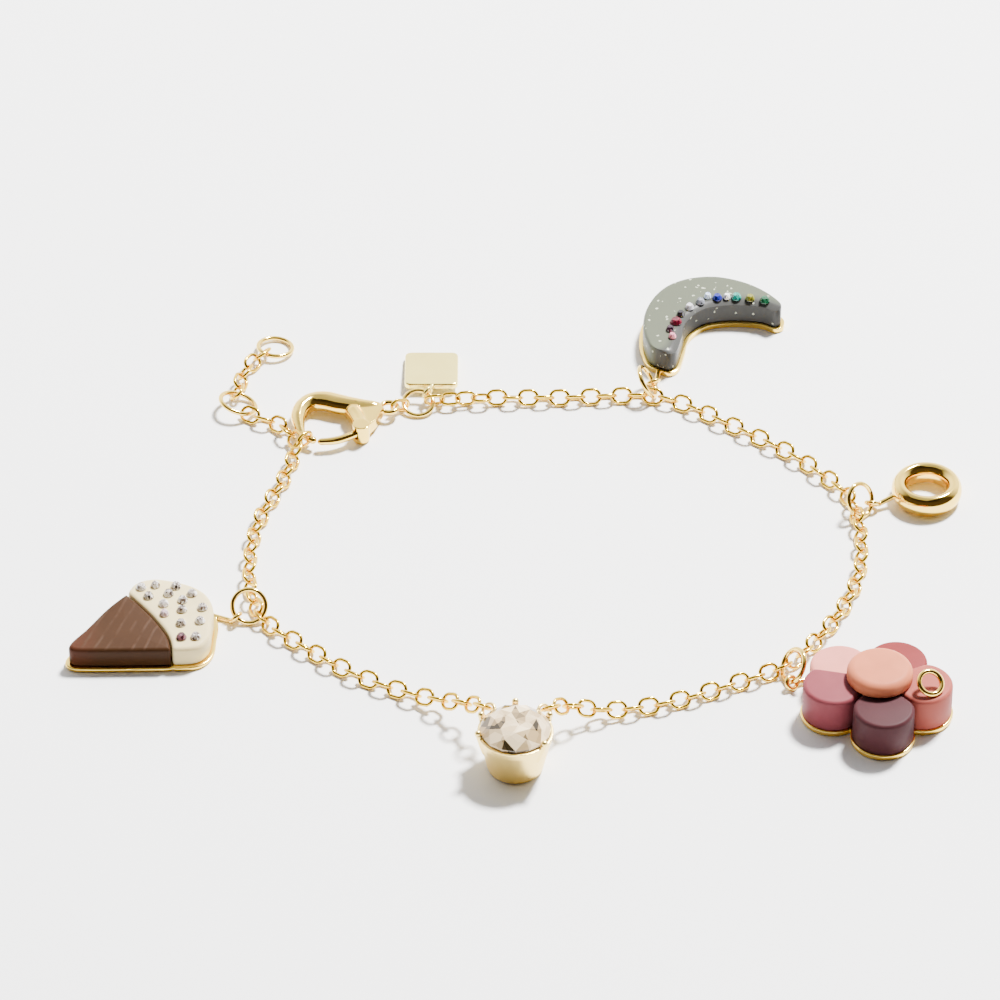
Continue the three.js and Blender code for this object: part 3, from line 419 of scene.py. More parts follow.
claw_curve = from_clasp(smooth_line(level(CLAW_LINE)))
held_index = round(HELD_SHARE * (len(claw_curve) - 1))
held_way = unit(claw_curve[held_index + 1] - claw_curve[held_index - 1])
held_outward = np.array([-held_way[1], held_way[0], 0])
held_hole = LINK_PITCH - HELD_SLACK
held_center = claw_curve[held_index] + held_outward * (held_hole / 2 - TIP_WIRE / 2 - HELD_SINK)
held_meet = held_center + held_outward * (held_hole + CHAIN_WIRE) / 2
left_links = chain_links(loop_point("left", CUP_LOOP_RADIUS), ROUTE_LEFT, held_meet,
                         loop_reach, HELD_SLACK, LINK_ROLL)
back_links = chain_links(held_meet, ROUTE_HELD, on_ring(MID_RING, MID_CHAIN_SIDES[0])[0],
                         HELD_SLACK, ring_reach, -LINK_ROLL)
end_links = chain_links(on_ring(MID_RING, MID_CHAIN_SIDES[1])[0], ROUTE_END,
                        on_ring(END_RING, END_CHAIN_SIDE)[0], ring_reach, ring_reach, -LINK_ROLL)


def link_shells(links):
    parts = (links[key] for key in ("center", "along", "face", "span"))
    return [link_shell(*one) for one in zip(*parts)]


held_shell = link_shell(held_center, held_outward, held_way, held_hole - LINK_CLEARANCE)
left_shells = link_shells(left_links) + [held_shell] + link_shells(back_links)
for piece_name, shells, node in (
    ("chain_links_right", link_shells(right_links), "chain_right"),
    ("chain_links_left", left_shells, "chain_left"),
    ("chain_links_end", link_shells(end_links), "chain_end"),
):
    finish_piece(piece_name, mesh_of(piece_name, shells), chain_gold, [node])

# The jump rings are bent from heavier gold wire and closed. One carries the tag, two end the
# extender, and one hangs each charm from a link of the chain, leaning on the table.
RING_RADIUS = 1.575
MOON_RING = {"spot": (15.3, 15.45), "low": 0, "lean": 59, "side": -1}
PUFF_RING = {"spot": (34.0, -2.4), "low": 319.7, "lean": 62, "side": -1}
FLOWER_RING = {"spot": (27.0, -24.7), "low": 200.3, "lean": 57, "side": -1}
CONE_RING = {"spot": (-23.0, -17.3), "low": 270, "lean": 51, "side": 1}


def ring_through(links, spot, low, lean, side):
    """Of the links near a spot, the one that best faces the ring's wire at its own height;
    the ring is moved so that its wire passes that link's middle."""
    trial = leaning_ring(0, 0, RING_RADIUS, RING_WIRE, low, lean)
    rise = RING_RADIUS * np.sin(np.radians(lean))
    near = np.hypot(*(links["center"][:, :2] - spot).T) < LINK_PITCH
    centers, faces = links["center"][near], links["face"][near]
    angles = side * np.degrees(np.arccos(1 - (centers[:, 2] - RING_WIRE / 2) / rise))
    facing = [abs(on_ring(trial, a)[2] @ f) for a, f in zip(angles, faces)]
    best = int(np.argmax(facing))
    middle = centers[best] - on_ring(trial, angles[best])[0]
    return leaning_ring(middle[0], middle[1], RING_RADIUS, RING_WIRE, low, lean)


moon_ring = ring_through(right_links, **MOON_RING)
puff_ring = ring_through(right_links, **PUFF_RING)
flower_ring = ring_through(right_links, **FLOWER_RING)
cone_ring = ring_through(left_links, **CONE_RING)
ring_gold = gold_material("ring_gold", 0.12, GOLD_TONE)


def shell_of_ring(ring):
    return ring_shell(ring["center"], ring["downhill"], ring["axis"], ring["radius"], ring["wire"])


for node, ring in (
    ("tag_jump_ring", TAG_RING), ("extender_ring_mid", MID_RING), ("extender_ring_end", END_RING),
    ("moon_jump_ring", moon_ring), ("ring_jump_ring", puff_ring),
    ("flower_jump_ring", flower_ring), ("cone_jump_ring", cone_ring),
):
    piece_name = node + "_wire"
    finish_piece(piece_name, mesh_of(piece_name, [shell_of_ring(ring)]), ring_gold, [node])

# The clasp is a cast lobster clasp in bright gold. Its body sweeps from the claw's thin tip
# round a fat back to a small eye at the tail, with a slotted leg that holds the lever.
CLASP_THICKNESS = 1.9
LEVER_TIP, SMALL_LINK_WIDTH = 0.66, 1.4
CLAW_WIDTHS = (0.82, 0.68, 0.7, 1.15, 1.55, 1.7, 1.85, 2.2, 2.2, 1.9, 1.4, 0.9)
CLAW_HEIGHTS = (0.82, 0.68, 0.7, 1.15, 1.6, 1.9, 1.9, 1.9, 1.9, 1.9, 1.5, 0.9)
PIVOT = np.array([-0.35 * CLASP_LENGTH, -2.85, 0.0])
TAIL_EYE_RADIUS, TAIL_EYE_WIRE = 0.8, 0.55
BOSS_RADIUS, LEVER_ROOT_RADIUS = 0.85, 0.6
LEVER_THICKNESS, LEVER_WIDTH = 0.8, 0.78
LEVER_LINE = ((0.0, 0.0), (-1.5, -0.5), (-2.8, -0.7), (-4.5, -0.42))
LEVER_HEADING, LEVER_SWING = 14.0, 20.0
WEB_CORNERS = ((-3.7, 0.7), (-3.7, -3.0), (-3.2, -3.25), (-1.9, -2.1), (-0.7, -0.5), (-0.9, 0.4))
WEB_HALF = 0.62
SLOT_LENGTH, PLAY = 3.0, 0.1
CAST_VOXEL, FINE_VOXEL, PLATE_VOXEL = 0.07, 0.05, 0.09
SHARP_ANGLE = np.radians(50)


def end_faces(rows, columns):
    """The flat faces on the first and the last row of a grid."""
    every = list(range(rows * columns))
    return [every[:columns][::-1], every[-columns:]]


def fanned(rows, columns):
    """Faces of a closed body: a grid, and a fan from each end row to a point of its own. The
    two points come after the grid's."""
    count, last = rows * columns, (rows - 1) * columns
    faces = quads(rows, columns, rows_close=False)[:, ::-1].tolist()
    faces += [[count, (k + 1) % columns, k] for k in range(columns)]
    return faces + [[count + 1, last + k, last + (k + 1) % columns] for k in range(columns)]


def rod_shell(line, widths, heights, steps=72, sides=20):
    """An oval section carried along a level line. Its width and height are read off even
    shares of the line, and shrink on a quarter circle over the last half width at each end."""
    curve = smooth_line(line, steps)
    share = np.linspace(0, 1, steps)
    way = unit(np.gradient(curve, axis=0))
    side = unit(np.stack([way[:, 1], -way[:, 0], np.zeros(steps)], axis=1))
    run = run_along(curve)
    known = np.linspace(0, 1, len(widths))
    wide, high = np.interp(share, known, widths), np.interp(share, known, heights)
    ends = np.minimum(run / (wide[0] / 2), (run[-1] - run) / (wide[-1] / 2))
    round_off = np.sqrt(1 - (1 - np.clip(ends, 0.04, 1)) ** 2)
    psi = turns(sides)[None, :, None]
    across = np.cos(psi) * side[:, None, :] * (wide * round_off / 2)[:, None, None]
    upward = np.sin(psi) * np.array([0, 0, 1]) * (high * round_off / 2)[:, None, None]
    points = (curve[:, None, :] + across + upward).reshape(-1, 3)
    return points, quads(steps, sides, rows_close=False).tolist() + end_faces(steps, sides)


def lathe_shell(profile, sides=48, center=(0, 0, 0)):
    """A profile of radius and height, from the axis below to the axis above, turned about Z."""
    profile = np.asarray(profile, float)
    ring = profile[1:-1]
    turn = turns(sides)
    x, y = ring[:, :1] * np.cos(turn), ring[:, :1] * np.sin(turn)
    points = np.stack([x, y, np.broadcast_to(ring[:, 1:], x.shape)], axis=-1).reshape(-1, 3)
    poles = np.array([[0, 0, profile[0, 1]], [0, 0, profile[-1, 1]]])
    return np.vstack([points, poles]) + center, fanned(len(ring), sides)


def bar_shell(start, end, wire, sides=14):
    """A straight round bar: a circle carried between two points."""
    start, end = np.asarray(start, float), np.asarray(end, float)
    way = unit(end - start)
    first = unit(np.cross(way, [0.31, 0.17, 0.93]))
    psi = turns(sides)[:, None]
    circle = (np.cos(psi) * first + np.sin(psi) * np.cross(way, first)) * wire / 2
    faces = quads(2, sides, rows_close=False)[:, ::-1].tolist() + end_faces(2, sides)
    return np.vstack([circle + start, circle + end]), faces


def cast_mesh(name, shells, voxel, relax, cutters):
    """Shells poured into one body: space is filled by small cubes wherever a shell is, the
    skin of that body is taken and relaxed, and the cutters are cut out of it."""
    rough = bpy.data.objects.new(name, mesh_of(name, shells, scale=1.0))
    bpy.context.collection.objects.link(rough)
    fuse = rough.modifiers.new("fuse", "REMESH")
    fuse.mode = "VOXEL"
    fuse.voxel_size = voxel
    fuse.use_smooth_shade = True
    smooth = rough.modifiers.new("relax", "SMOOTH")
    smooth.iterations = relax
    knives = []
    for number, cutter in enumerate(cutters):
        knife_mesh = mesh_of("knife", [cutter], scale=1.0)
        knife = bpy.data.objects.new(f"{name}_knife_{number}", knife_mesh)
        bpy.context.collection.objects.link(knife)
        cut = rough.modifiers.new("cut", "BOOLEAN")
        cut.operation, cut.solver, cut.object = "DIFFERENCE", "EXACT", knife
        knives.append(knife)
    finished = rough.evaluated_get(bpy.context.evaluated_depsgraph_get())
    mesh = bpy.data.meshes.new_from_object(finished)
    for spare in [rough, *knives]:
        bpy.data.objects.remove(spare)
    points = np.zeros(len(mesh.vertices) * 3)
    mesh.vertices.foreach_get("co", points)
    mesh.vertices.foreach_set("co", ((points.reshape(-1, 3) + SHIFT) * MM).ravel())
    mesh.materials.clear()
    mesh.set_sharp_from_angle(angle=SHARP_ANGLE)
    mesh.name = name
    return mesh


def cast_piece(name, shells, material, node, voxel=CAST_VOXEL, relax=4, cutters=(), body="bracelet"):
    mesh = cast_mesh(name, shells, voxel, relax, cutters)
    finish_piece(name, mesh, material, [node], body)


def in_clasp(shell, origin=(0, 0, 0)):
    return from_clasp(shell[0] + np.asarray(origin)), shell[1]


def drum(radius, bottom, top, sides=32, center=(0, 0, 0)):
    return lathe_shell([(0, bottom), (radius, bottom), (radius, top), (0, top)], sides, center)


def slot_cutter(swing):
    """A box out from the pivot along the lever, turned by the lever's swing."""
    half = np.array([SLOT_LENGTH, LEVER_WIDTH + 3 * PLAY, LEVER_THICKNESS + 2 * PLAY]) / 2
    signs = np.array([(x, y, z) for z in (-1, 1) for x, y in ((-1, -1), (1, -1), (1, 1), (-1, 1))])
    box = turned(signs * half - [SLOT_LENGTH / 2, 0, 0], np.radians(LEVER_HEADING - swing))
    faces = [[3, 2, 1, 0], [4, 5, 6, 7], [0, 1, 5, 4], [1, 2, 6, 5], [2, 3, 7, 6], [3, 0, 4, 7]]
    return from_clasp(box + PIVOT), faces


def web_shell():
    """The flat of metal that fills the corner between arm and leg: a triangle with a level
    top and bottom."""
    count = len(WEB_CORNERS)
    layers = [np.column_stack([WEB_CORNERS, np.full(count, side * WEB_HALF)]) for side in (-1, 1)]
    faces = quads(2, count, rows_close=False)[:, ::-1].tolist()
    return np.vstack(layers), faces + end_faces(2, count)


half_thick = CLASP_THICKNESS / 2
leg_line = [(-0.36 * CLASP_LENGTH, 0.8, 0), (PIVOT[0] + 0.15, -1, 0), PIVOT]
clasp_shells = [
    rod_shell(from_clasp(level(CLAW_LINE)), CLAW_WIDTHS, CLAW_HEIGHTS),
    rod_shell(from_clasp(leg_line), (1.6, 1.7, 1.5), (CLASP_THICKNESS,) * 3, 24),
    in_clasp(drum(BOSS_RADIUS, -half_thick, half_thick), PIVOT),
    in_clasp(web_shell()),
    ring_shell(CLASP_PLACE, np.array([1.0, 0, 0]), np.array([0, 0, 1.0]), TAIL_EYE_RADIUS,
               TAIL_EYE_WIRE),
]
slot_half = LEVER_THICKNESS / 2 + PLAY
clasp_cuts = [slot_cutter(swing) for swing in (0, LEVER_SWING / 2, LEVER_SWING)]
clasp_cuts.append(in_clasp(drum(LEVER_ROOT_RADIUS + 2 * PLAY, -slot_half, slot_half), PIVOT))
clasp_gold = gold_material("clasp_gold", 0.1, GOLD_TONE)
cast_piece("clasp_cast", clasp_shells, clasp_gold, "clasp_body", relax=6, cutters=clasp_cuts)

lever_line = from_clasp(level(LEVER_LINE) + PIVOT)
lever_shells = [
    rod_shell(lever_line, (LEVER_WIDTH,) * 3 + (LEVER_TIP,), (LEVER_THICKNESS,) * 3 + (LEVER_TIP,), 48),
    in_clasp(drum(LEVER_ROOT_RADIUS, -LEVER_THICKNESS / 2, LEVER_THICKNESS / 2), PIVOT),
]
cast_piece("clasp_trigger", lever_shells, clasp_gold, "clasp_lever", FINE_VOXEL, 2, body="lever")

tail_turn = np.radians(10)
tail_side = from_clasp([*(TAIL_EYE_RADIUS * ways_of(tail_turn)), 0])
tag_side = on_ring(TAG_RING, TAG_SMALL_SIDE)[0]
small_way = unit(tag_side - tail_side)
small_hole = np.linalg.norm(tag_side - tail_side) + (TAIL_EYE_WIRE + RING_WIRE) / 2 + 3 * PLAY
small_face = unit(np.array([-small_way[1], small_way[0], 0]))
small_shell = link_shell((tail_side + tag_side) / 2, small_way, small_face,
                         small_hole - LINK_CLEARANCE, SMALL_LINK_WIDTH, 10, 32)
finish_piece("clasp_small_link", mesh_of("clasp_small_link", [small_shell]), chain_gold,
             ["clasp_link"])

# The crystal is a round stone, cut with a table and kite facets and tinted pale champagne. It
# sits in a plain gold cup that widens upward, under five broad beaded prongs. Two loops are
# soldered to the back of the cup for the chain's ends.
CUP_WALL, CUP_FLOOR = 0.35, 0.5
STONE_LEDGE, TABLE_RADIUS, CROWN_HEIGHT, GIRDLE_HEIGHT = 0.25, 1.9, 1.05, 0.2
PRONG_RADIUS, PRONG_HEIGHT, PRONG_ROOT, SEAT = 0.28, 0.75, 1.7, 0.06
PRONG_SLANT, PRONG_SPREAD, BEAD_RADIUS, BEAD_DROP = 0.62, 0.38, 0.34, 0.3
PRONG_HEADINGS = (90, 152, 196, 318, 28)
STONE_RADIUS = CUP_RIM_RADIUS - STONE_LEDGE


def cut_stone(center, radius, table, crown, girdle, depth, turn=0.0):
    """A round cut stone. The level table is a star of facets inside eight corners. Eight kite
    corners stand half a step round from them, then come sixteen girdle corners above and
    below, and a small flat foot."""
    eight = np.radians(turn + np.arange(8) * 45.0)
    sixteen = np.radians(turn + np.arange(16) * 22.5)
    kite = (table + radius) / 2
    fall = (kite * np.cos(np.pi / 8) - table) / (radius - table)

    def around(angles, reach, height):
        return np.column_stack([reach * ways_of(angles), np.full(len(angles), height)])

    points = np.vstack([
        around(eight, table, girdle + crown),
        around(eight + np.pi / 8, kite, girdle + crown * (1 - fall)),
        around(sixteen, radius, girdle), around(sixteen, radius, 0),
        around(sixteen, radius * 0.3, -depth),
        around(eight + np.pi / 8, table * 0.52, girdle + crown), [[0, 0, girdle + crown]],
    ])
    faces = []
    for k in range(8):
        after, before = (k + 1) % 8, (k - 1) % 8
        faces += [[72, 64 + before, 64 + k], [64 + before, k, 64 + k], [64 + k, k, after]]
    for k in range(8):
        after, before = (k + 1) % 8, (k - 1) % 8
        low, mid, high = 16 + 2 * k, 16 + 2 * k + 1, 16 + (2 * k + 2) % 16
        faces += [[k, 8 + k, after], [k, 8 + before, low, 8 + k]]
        faces += [[8 + k, low, mid], [8 + k, mid, high]]
    for k in range(16):
        after = (k + 1) % 16
        faces += [[16 + k, 32 + k, 32 + after, 16 + after], [32 + k, 48 + k, 48 + after, 32 + after]]
    faces.append(list(range(48, 64))[::-1])
    return points + center, faces


TABLE_FACES = 24
CELL_SHARE = 0.3


def facet_mesh(name, shells, seed, table_light=1.0):
    """Flat facets, each with a random share of painted light that its material reads as
    facet_light. The table's share is weakened, a darker painted reflection, because through it
    one sees into the stone."""
    mesh = mesh_of(name, shells, smooth=False)
    light = np.random.default_rng(seed).random(len(mesh.polygons)).astype(np.float32)
    light[:TABLE_FACES] *= table_light
    mesh.attributes.new("facet_light", "FLOAT", "FACE").data.foreach_set("value", light)
    return mesh


def random_cells(tree, scale):
    """Small cells in space, each with a random share from nought to one."""
    place = add_node(tree, "TexCoord").outputs["Object"]
    cells = add_node(tree, "TexVoronoi", {"Vector": place, "Scale": scale}).outputs["Color"]
    return add_node(tree, "SeparateColor", {"Color": cells}).outputs["Red"]


def gem_material(name, dark, middle, bright, glint_scale=2500):
    """Cut glass on foil, under a clear gloss, with its facets' light painted into the colour.
    What a facet sends back mixes its own painted share of light with that of the cells that
    stand for the facets seen through it: painted shade, reflections and glints."""
    material, tree, shader = new_material(name)
    facet = add_node(tree, "Attribute")
    facet.attribute_name = "facet_light"
    share = add_node(tree, "Mix", {0: CELL_SHARE, 2: facet.outputs["Fac"],
                                   3: random_cells(tree, glint_scale)}).outputs[0]
    # Painted facet light: the dark, middle and bright tones stand for the shade and glints of the facets.
    tone = add_ramp(tree, share, (0.14, dark), (0.3, middle), (0.8, bright))
    set_inputs(tree, shader, {"Base Color": tone.outputs["Color"], "Roughness": 0.03, "IOR": 1.62})
    return material


rim = CUP_RIM_RADIUS
cup_profile = [
    (0, 0), (CUP_BASE_RADIUS - 0.12, 0), (CUP_BASE_RADIUS, 0.1), (CUP_BASE_RADIUS + 0.3, 1.5),
    (rim - 0.12, CUP_HEIGHT - 0.7), (rim, CUP_HEIGHT), (rim - CUP_WALL, CUP_HEIGHT),
    (CUP_BASE_RADIUS - 0.1, CUP_FLOOR), (0, CUP_FLOOR),
]
cup_shells = [lathe_shell(cup_profile, 64, CRYSTAL_PLACE)]
prong_reach = STONE_RADIUS + PRONG_RADIUS + SEAT
bead_profile = ways_of(np.linspace(-np.pi / 2, np.pi / 2, 9)) * BEAD_RADIUS
bead_profile[[0, -1], 0] = 0
for heading in np.radians(PRONG_HEADINGS):
    outward = np.append(ways_of(heading), 0)
    foot = CRYSTAL_PLACE + outward * prong_reach
    root = foot + [0, 0, CUP_HEIGHT - PRONG_ROOT] - outward * PRONG_SLANT
    bead = foot + [0, 0, CUP_HEIGHT + PRONG_HEIGHT - BEAD_DROP] - outward * SEAT
    aside = np.array([-outward[1], outward[0], 0]) * PRONG_SPREAD
    cup_shells += [bar_shell(root + aside * step, bead, 2 * PRONG_RADIUS) for step in (-1, 0, 1)]
    cup_shells.append(lathe_shell(bead_profile, 16, bead))
for side, link_face in (("left", left_links["face"][0]), ("right", right_links["face"][-1])):
    way = np.append(ways_of(np.radians(LOOP_HEADINGS[side])), 0)
    cup_shells.append(ring_shell(loop_point(side, 0), way, unit(np.cross(way, link_face)),
                                 CUP_LOOP_RADIUS, CUP_LOOP_WIRE))
# Painted light: the cup's gold is a paler copy of the other gold, standing for the bright reflection of
# the table on its front.
cup_gold = gold_material("cup_gold", 0.3, (1.0, 0.77, 0.27))
cast_piece("crystal_cup", cup_shells, cup_gold, "crystal_setting")

girdle_height = CUP_HEIGHT + 2 * SEAT
gem = cut_stone(CRYSTAL_PLACE + [0, 0, girdle_height], STONE_RADIUS, TABLE_RADIUS, CROWN_HEIGHT,
                GIRDLE_HEIGHT, CUP_HEIGHT - CUP_FLOOR - 0.6)
# The crystal's dark and bright tones are painted facet shade and glints.
champagne = gem_material("champagne_crystal", (0.03, 0.02, 0.008), (0.42, 0.29, 0.14),
                         (0.86, 0.68, 0.42), 900)
finish_piece("crystal_gem", facet_mesh("crystal_gem", [gem], 11), champagne,
             ["crystal_stone"])

# The tag is a plain stamped gold plate with slightly rounded corners and a soldered eye. It
# leans from its jump ring down to the table, and its face is bare.
TAG_PLACE, TAG_TILT = np.array([-6.75, 16.5, 0.62]), np.radians(-5.8)
TAG_WIDTH, TAG_LENGTH, TAG_THICKNESS, TAG_CORNER = 5.25, 6.0, 0.6, 0.7
TAG_EYE_SIDE, TAG_EYE_FOOT = 143, (0.1, 0.25, TAG_THICKNESS / 2)
TAG_EYE_RADIUS, TAG_EYE_WIRE, TAG_VOXEL = 0.56, 0.3, 0.06
EYE_RADIUS, EYE_WIRE, EYE_SWELL = 0.58, 0.36, 0.08


def eye_shells(ring, angle, foot, radius=EYE_RADIUS, wire=EYE_WIRE):
    """An eye round a ring's wire, one hair outside it, and the bar to its foot on a charm."""
    point, out, wire_way = on_ring(ring, angle)
    middle = point + out * (radius - wire / 2 - ring["wire"] / 2 - PLAY)
    way = foot - middle
    way = unit(way - (way @ wire_way) * wire_way)
    return [ring_shell(middle, out, wire_way, radius, wire + EYE_SWELL),
            bar_shell(middle + way * radius, foot, wire + 2 * EYE_SWELL)]


def inset_loop(outline, inward, inset):
    """The outline moved inward. At a sharp corner some points come nearer to the outline than
    the inset; they are spread evenly between the last good points on either side."""
    moved = outline + inward * inset
    if inset <= 0:
        return moved
    nearest = np.linalg.norm(moved[:, None] - outline[None], axis=2).min(1)
    good = np.flatnonzero(nearest > inset * 0.97)
    every = np.arange(len(outline))
    return read_off(every, good, moved[good], len(outline))


def puck_shell(outline, rows):
    """A closed outline carried up through rows of inset and height, with a fan at each end."""
    outline = np.asarray(outline, float)
    around = unit(np.roll(outline, -1, axis=0) - np.roll(outline, 1, axis=0))
    inward = np.stack([-around[:, 1], around[:, 0]], axis=1)
    count = len(outline)
    layers = [np.column_stack([inset_loop(outline, inward, inset), np.full(count, height)])
              for inset, height in rows]
    middles = [np.append(layer[:, :2].mean(0), layer[0, 2]) for layer in (layers[0], layers[-1])]
    return np.vstack([*layers, middles]), fanned(len(rows), count)


def edged_rows(bottom, top, edge, steps=5):
    """Rows for a flat body with a quarter-round top edge and a slight chamfer below."""
    turn = np.linspace(0, np.pi / 2, steps)
    upper = [(edge * (1 - np.cos(a)), top - edge * (1 - np.sin(a))) for a in turn]
    chamfer = min(0.06, edge)
    return [(chamfer, bottom), (0, bottom + chamfer), *upper]


def corner_rounded(points, radius, steps=6):
    """A polygon whose corners are each swept by a parabola between points a radius away."""
    points = np.asarray(points, float)
    before, after = np.roll(points, 1, axis=0), np.roll(points, -1, axis=0)
    start = points + unit(before - points) * radius
    end = points + unit(after - points) * radius
    t = np.linspace(0, 1, steps)[None, :, None]
    first, middle, last = (part[:, None] for part in (start, points, end))
    swept = (1 - t) ** 2 * first + 2 * t * (1 - t) * middle + t ** 2 * last
    return swept.reshape(-1, 2)


half_tag = TAG_WIDTH / 2
tag_outline = corner_rounded([(-half_tag, 0), (half_tag, 0), (half_tag, TAG_LENGTH),
                              (-half_tag, TAG_LENGTH)], TAG_CORNER)
tag_plate = puck_shell(tag_outline, edged_rows(0, TAG_THICKNESS, 0.16))


def in_tag(points):
    x, y, z = np.moveaxis(np.asarray(points, float), -1, 0)
    cos, sin = np.cos(TAG_TILT), np.sin(TAG_TILT)
    return np.stack([x, y * cos - z * sin, y * sin + z * cos], axis=-1) + TAG_PLACE


tag_shells = [(in_tag(tag_plate[0]), tag_plate[1]),
              *eye_shells(TAG_RING, TAG_EYE_SIDE, in_tag(TAG_EYE_FOOT), TAG_EYE_RADIUS, TAG_EYE_WIRE)]
tag_gold = gold_material("tag_gold", 0.22, (1.0, 0.85, 0.27))
cast_piece("tag_plate", tag_shells, tag_gold, "tag", TAG_VOXEL, 2)

# The puffed ring is a hollow-made gold ring with a round full section, highly polished. One
# soldered eye holds its jump ring.
PUFF_PLACE = np.array([41.0, 0.3, 0.0])
PUFF_RADIUS, PUFF_WIDTH, PUFF_THICKNESS = 2.62, 1.55, 2.2
PUFF_EYE_SIDE = 50


def oval_ring(center, radius, width, height, steps=72, sides=28):
    """An oval section carried round a level circle."""
    phi, psi = turns(steps)[:, None], turns(sides)[None, :]
    reach = radius + np.cos(psi) * width / 2
    z = np.broadcast_to(np.sin(psi) * height / 2, (steps, sides))
    points = np.stack([reach * np.cos(phi), reach * np.sin(phi), z], axis=-1).reshape(-1, 3)
    return points + center, quads(steps, sides)[:, ::-1].tolist()


puff_middle = PUFF_PLACE + [0, 0, PUFF_THICKNESS / 2]
puff_shells = [oval_ring(puff_middle, PUFF_RADIUS, PUFF_WIDTH, PUFF_THICKNESS),
               *eye_shells(puff_ring, PUFF_EYE_SIDE, puff_middle + [-PUFF_RADIUS, -0.6, 0])]
cast_piece("puffed_ring", puff_shells, clasp_gold, "ring_charm")

# The flower is a gold back plate with five resin petals, each a thick satin puck of its own
# colour parted from the next by a narrow gap, and a smaller disk raised over the middle. A
# small gold ring lies on the right petal.
FLOWER_AT = np.append(FLOWER_PLACE, 0.0)
FLOWER_PLATE, FLOWER_LIP, PETAL_RADIUS, PETAL_ROUND, PETAL_GAP = 0.5, 0.15, 2.82, 0.7, 0.12
PETAL_TOP, BACK_PETAL_TOP = 3.9, 3.05
NECK_RADIUS, DISK_RADIUS, DISK_THICKNESS, DISK_EDGE = 1.0, 3.05, 1.3, 0.75
FLOWER_EYE_SIDE, FLOWER_EYE_FOOT = 46, (-4.6, 4.6, FLOWER_PLATE / 2)
CORNER_POWER = 22
LOOSE_RING_PLACE, LOOSE_RING_WIRE = FLOWER_PLACE + [4.55, -1.7], 0.5
PETALS = (
    ("petal_front", -87, 4.12, PETAL_TOP, (0.05, 0.015, 0.018)),
    ("petal_right", -9, 3.96, PETAL_TOP, (0.3, 0.07, 0.054)),
    ("petal_back_right", 63, 3.99, BACK_PETAL_TOP, (0.18, 0.024, 0.024)),
    ("petal_back_left", 139, 4.56, BACK_PETAL_TOP, (0.6, 0.21, 0.17)),
    ("petal_left", 190, 4.33, PETAL_TOP, (0.19, 0.042, 0.052)),
)


def resin_shader(name, roughness, glow):
    """Satin resin without its colour and relief: a soft gloss, and a little glow within."""
    material, tree, shader = new_material(name)
    set_inputs(tree, shader, {
        "Roughness": roughness, "Specular IOR Level": 0.07, "Subsurface Weight": glow,
        "Subsurface Radius": (0.0008, 0.0005, 0.0004), "Subsurface Scale": 1.0,
    })
    return material, tree, shader, add_node(tree, "TexCoord").outputs["Object"]


def fine_grain(tree, place):
    """A fine grain in the gloss."""
    grain = add_node(tree, "TexNoise", {"Vector": place, "Scale": 9000}).outputs["Fac"]
    bump = add_node(tree, "Bump", {"Height": grain, "Strength": 0.08, "Distance": 0.00003})
    return bump.outputs["Normal"]


def clouded(tree, place, color):
    """A colour that drifts a little darker and lighter with a soft cloud."""
    color = np.array(color)
    cloud = add_node(tree, "TexNoise", {"Vector": place, "Scale": 450, "Detail": 4}).outputs["Fac"]
    tint = add_ramp(tree, cloud, (0.3, color * 0.93), (0.7, np.minimum(color * 1.05, 1)))
    return tint.outputs["Color"]


def resin_material(name, color, roughness):
    """Satin resin in one softly clouded colour with a fine grain."""
    material, tree, shader, place = resin_shader(name, roughness, 0.1)
    set_inputs(tree, shader, {"Base Color": clouded(tree, place, color),
                              "Normal": fine_grain(tree, place)})
    return material


def petal_middle(petal):
    return petal[2] * ways_of(np.radians(petal[1]))


def petal_outline(number, steps=120):
    """The petal's circle, cut short of the line halfway to each neighbour. Where circle and
    cut meet, the corner is softened by the power mean of the two reaches."""
    middle = petal_middle(PETALS[number])
    ways = ways_of(turns(steps))
    reaches = [np.full(steps, PETAL_RADIUS)]
    for step in (1, len(PETALS) - 1):
        other = petal_middle(PETALS[(number + step) % len(PETALS)])
        limit = (np.linalg.norm(other - middle) - PETAL_GAP) / 2
        facing = np.maximum(ways @ unit(other - middle), 1e-3)
        reaches.append(limit / facing)
    reach = np.sum(np.array(reaches) ** -float(CORNER_POWER), axis=0) ** (-1 / CORNER_POWER)
    return FLOWER_PLACE + middle + ways * reach[:, None]


petal_disk = PETAL_RADIUS + FLOWER_LIP
plate_shells = [drum(petal_disk, 0, FLOWER_PLATE, 64, FLOWER_AT + [*petal_middle(petal), 0])
                for petal in PETALS]
plate_shells.append(drum(PETAL_RADIUS, 0, FLOWER_PLATE, 48, FLOWER_AT))
plate_shells.append(drum(NECK_RADIUS, 0, PETAL_TOP + SEAT, 32, FLOWER_AT))
plate_shells += eye_shells(flower_ring, FLOWER_EYE_SIDE, FLOWER_AT + FLOWER_EYE_FOOT)
plate_gold = gold_material("plate_gold", 0.15, GOLD_TONE)
cast_piece("flower_back", plate_shells, plate_gold, "flower_plate", PLATE_VOXEL, 2)
for number, (petal_name, _, _, petal_top, petal_color) in enumerate(PETALS):
    petal_rows = edged_rows(FLOWER_PLATE + SEAT, petal_top, PETAL_ROUND * 0.55, 8)
    piece_name = petal_name + "_resin"
    finish_piece(piece_name, mesh_of(piece_name, [puck_shell(petal_outline(number), petal_rows)]),
                 resin_material(piece_name, petal_color, 0.5), [petal_name])
disk_outline = FLOWER_PLACE + DISK_RADIUS * ways_of(turns(96))
disk_rows = edged_rows(DISK_BASE, DISK_BASE + DISK_THICKNESS, DISK_EDGE, 9)
finish_piece("flower_disk", mesh_of("flower_disk", [puck_shell(disk_outline, disk_rows)]),
             resin_material("flower_disk", (0.5, 0.15, 0.073), 0.48),
             ["flower_center"])
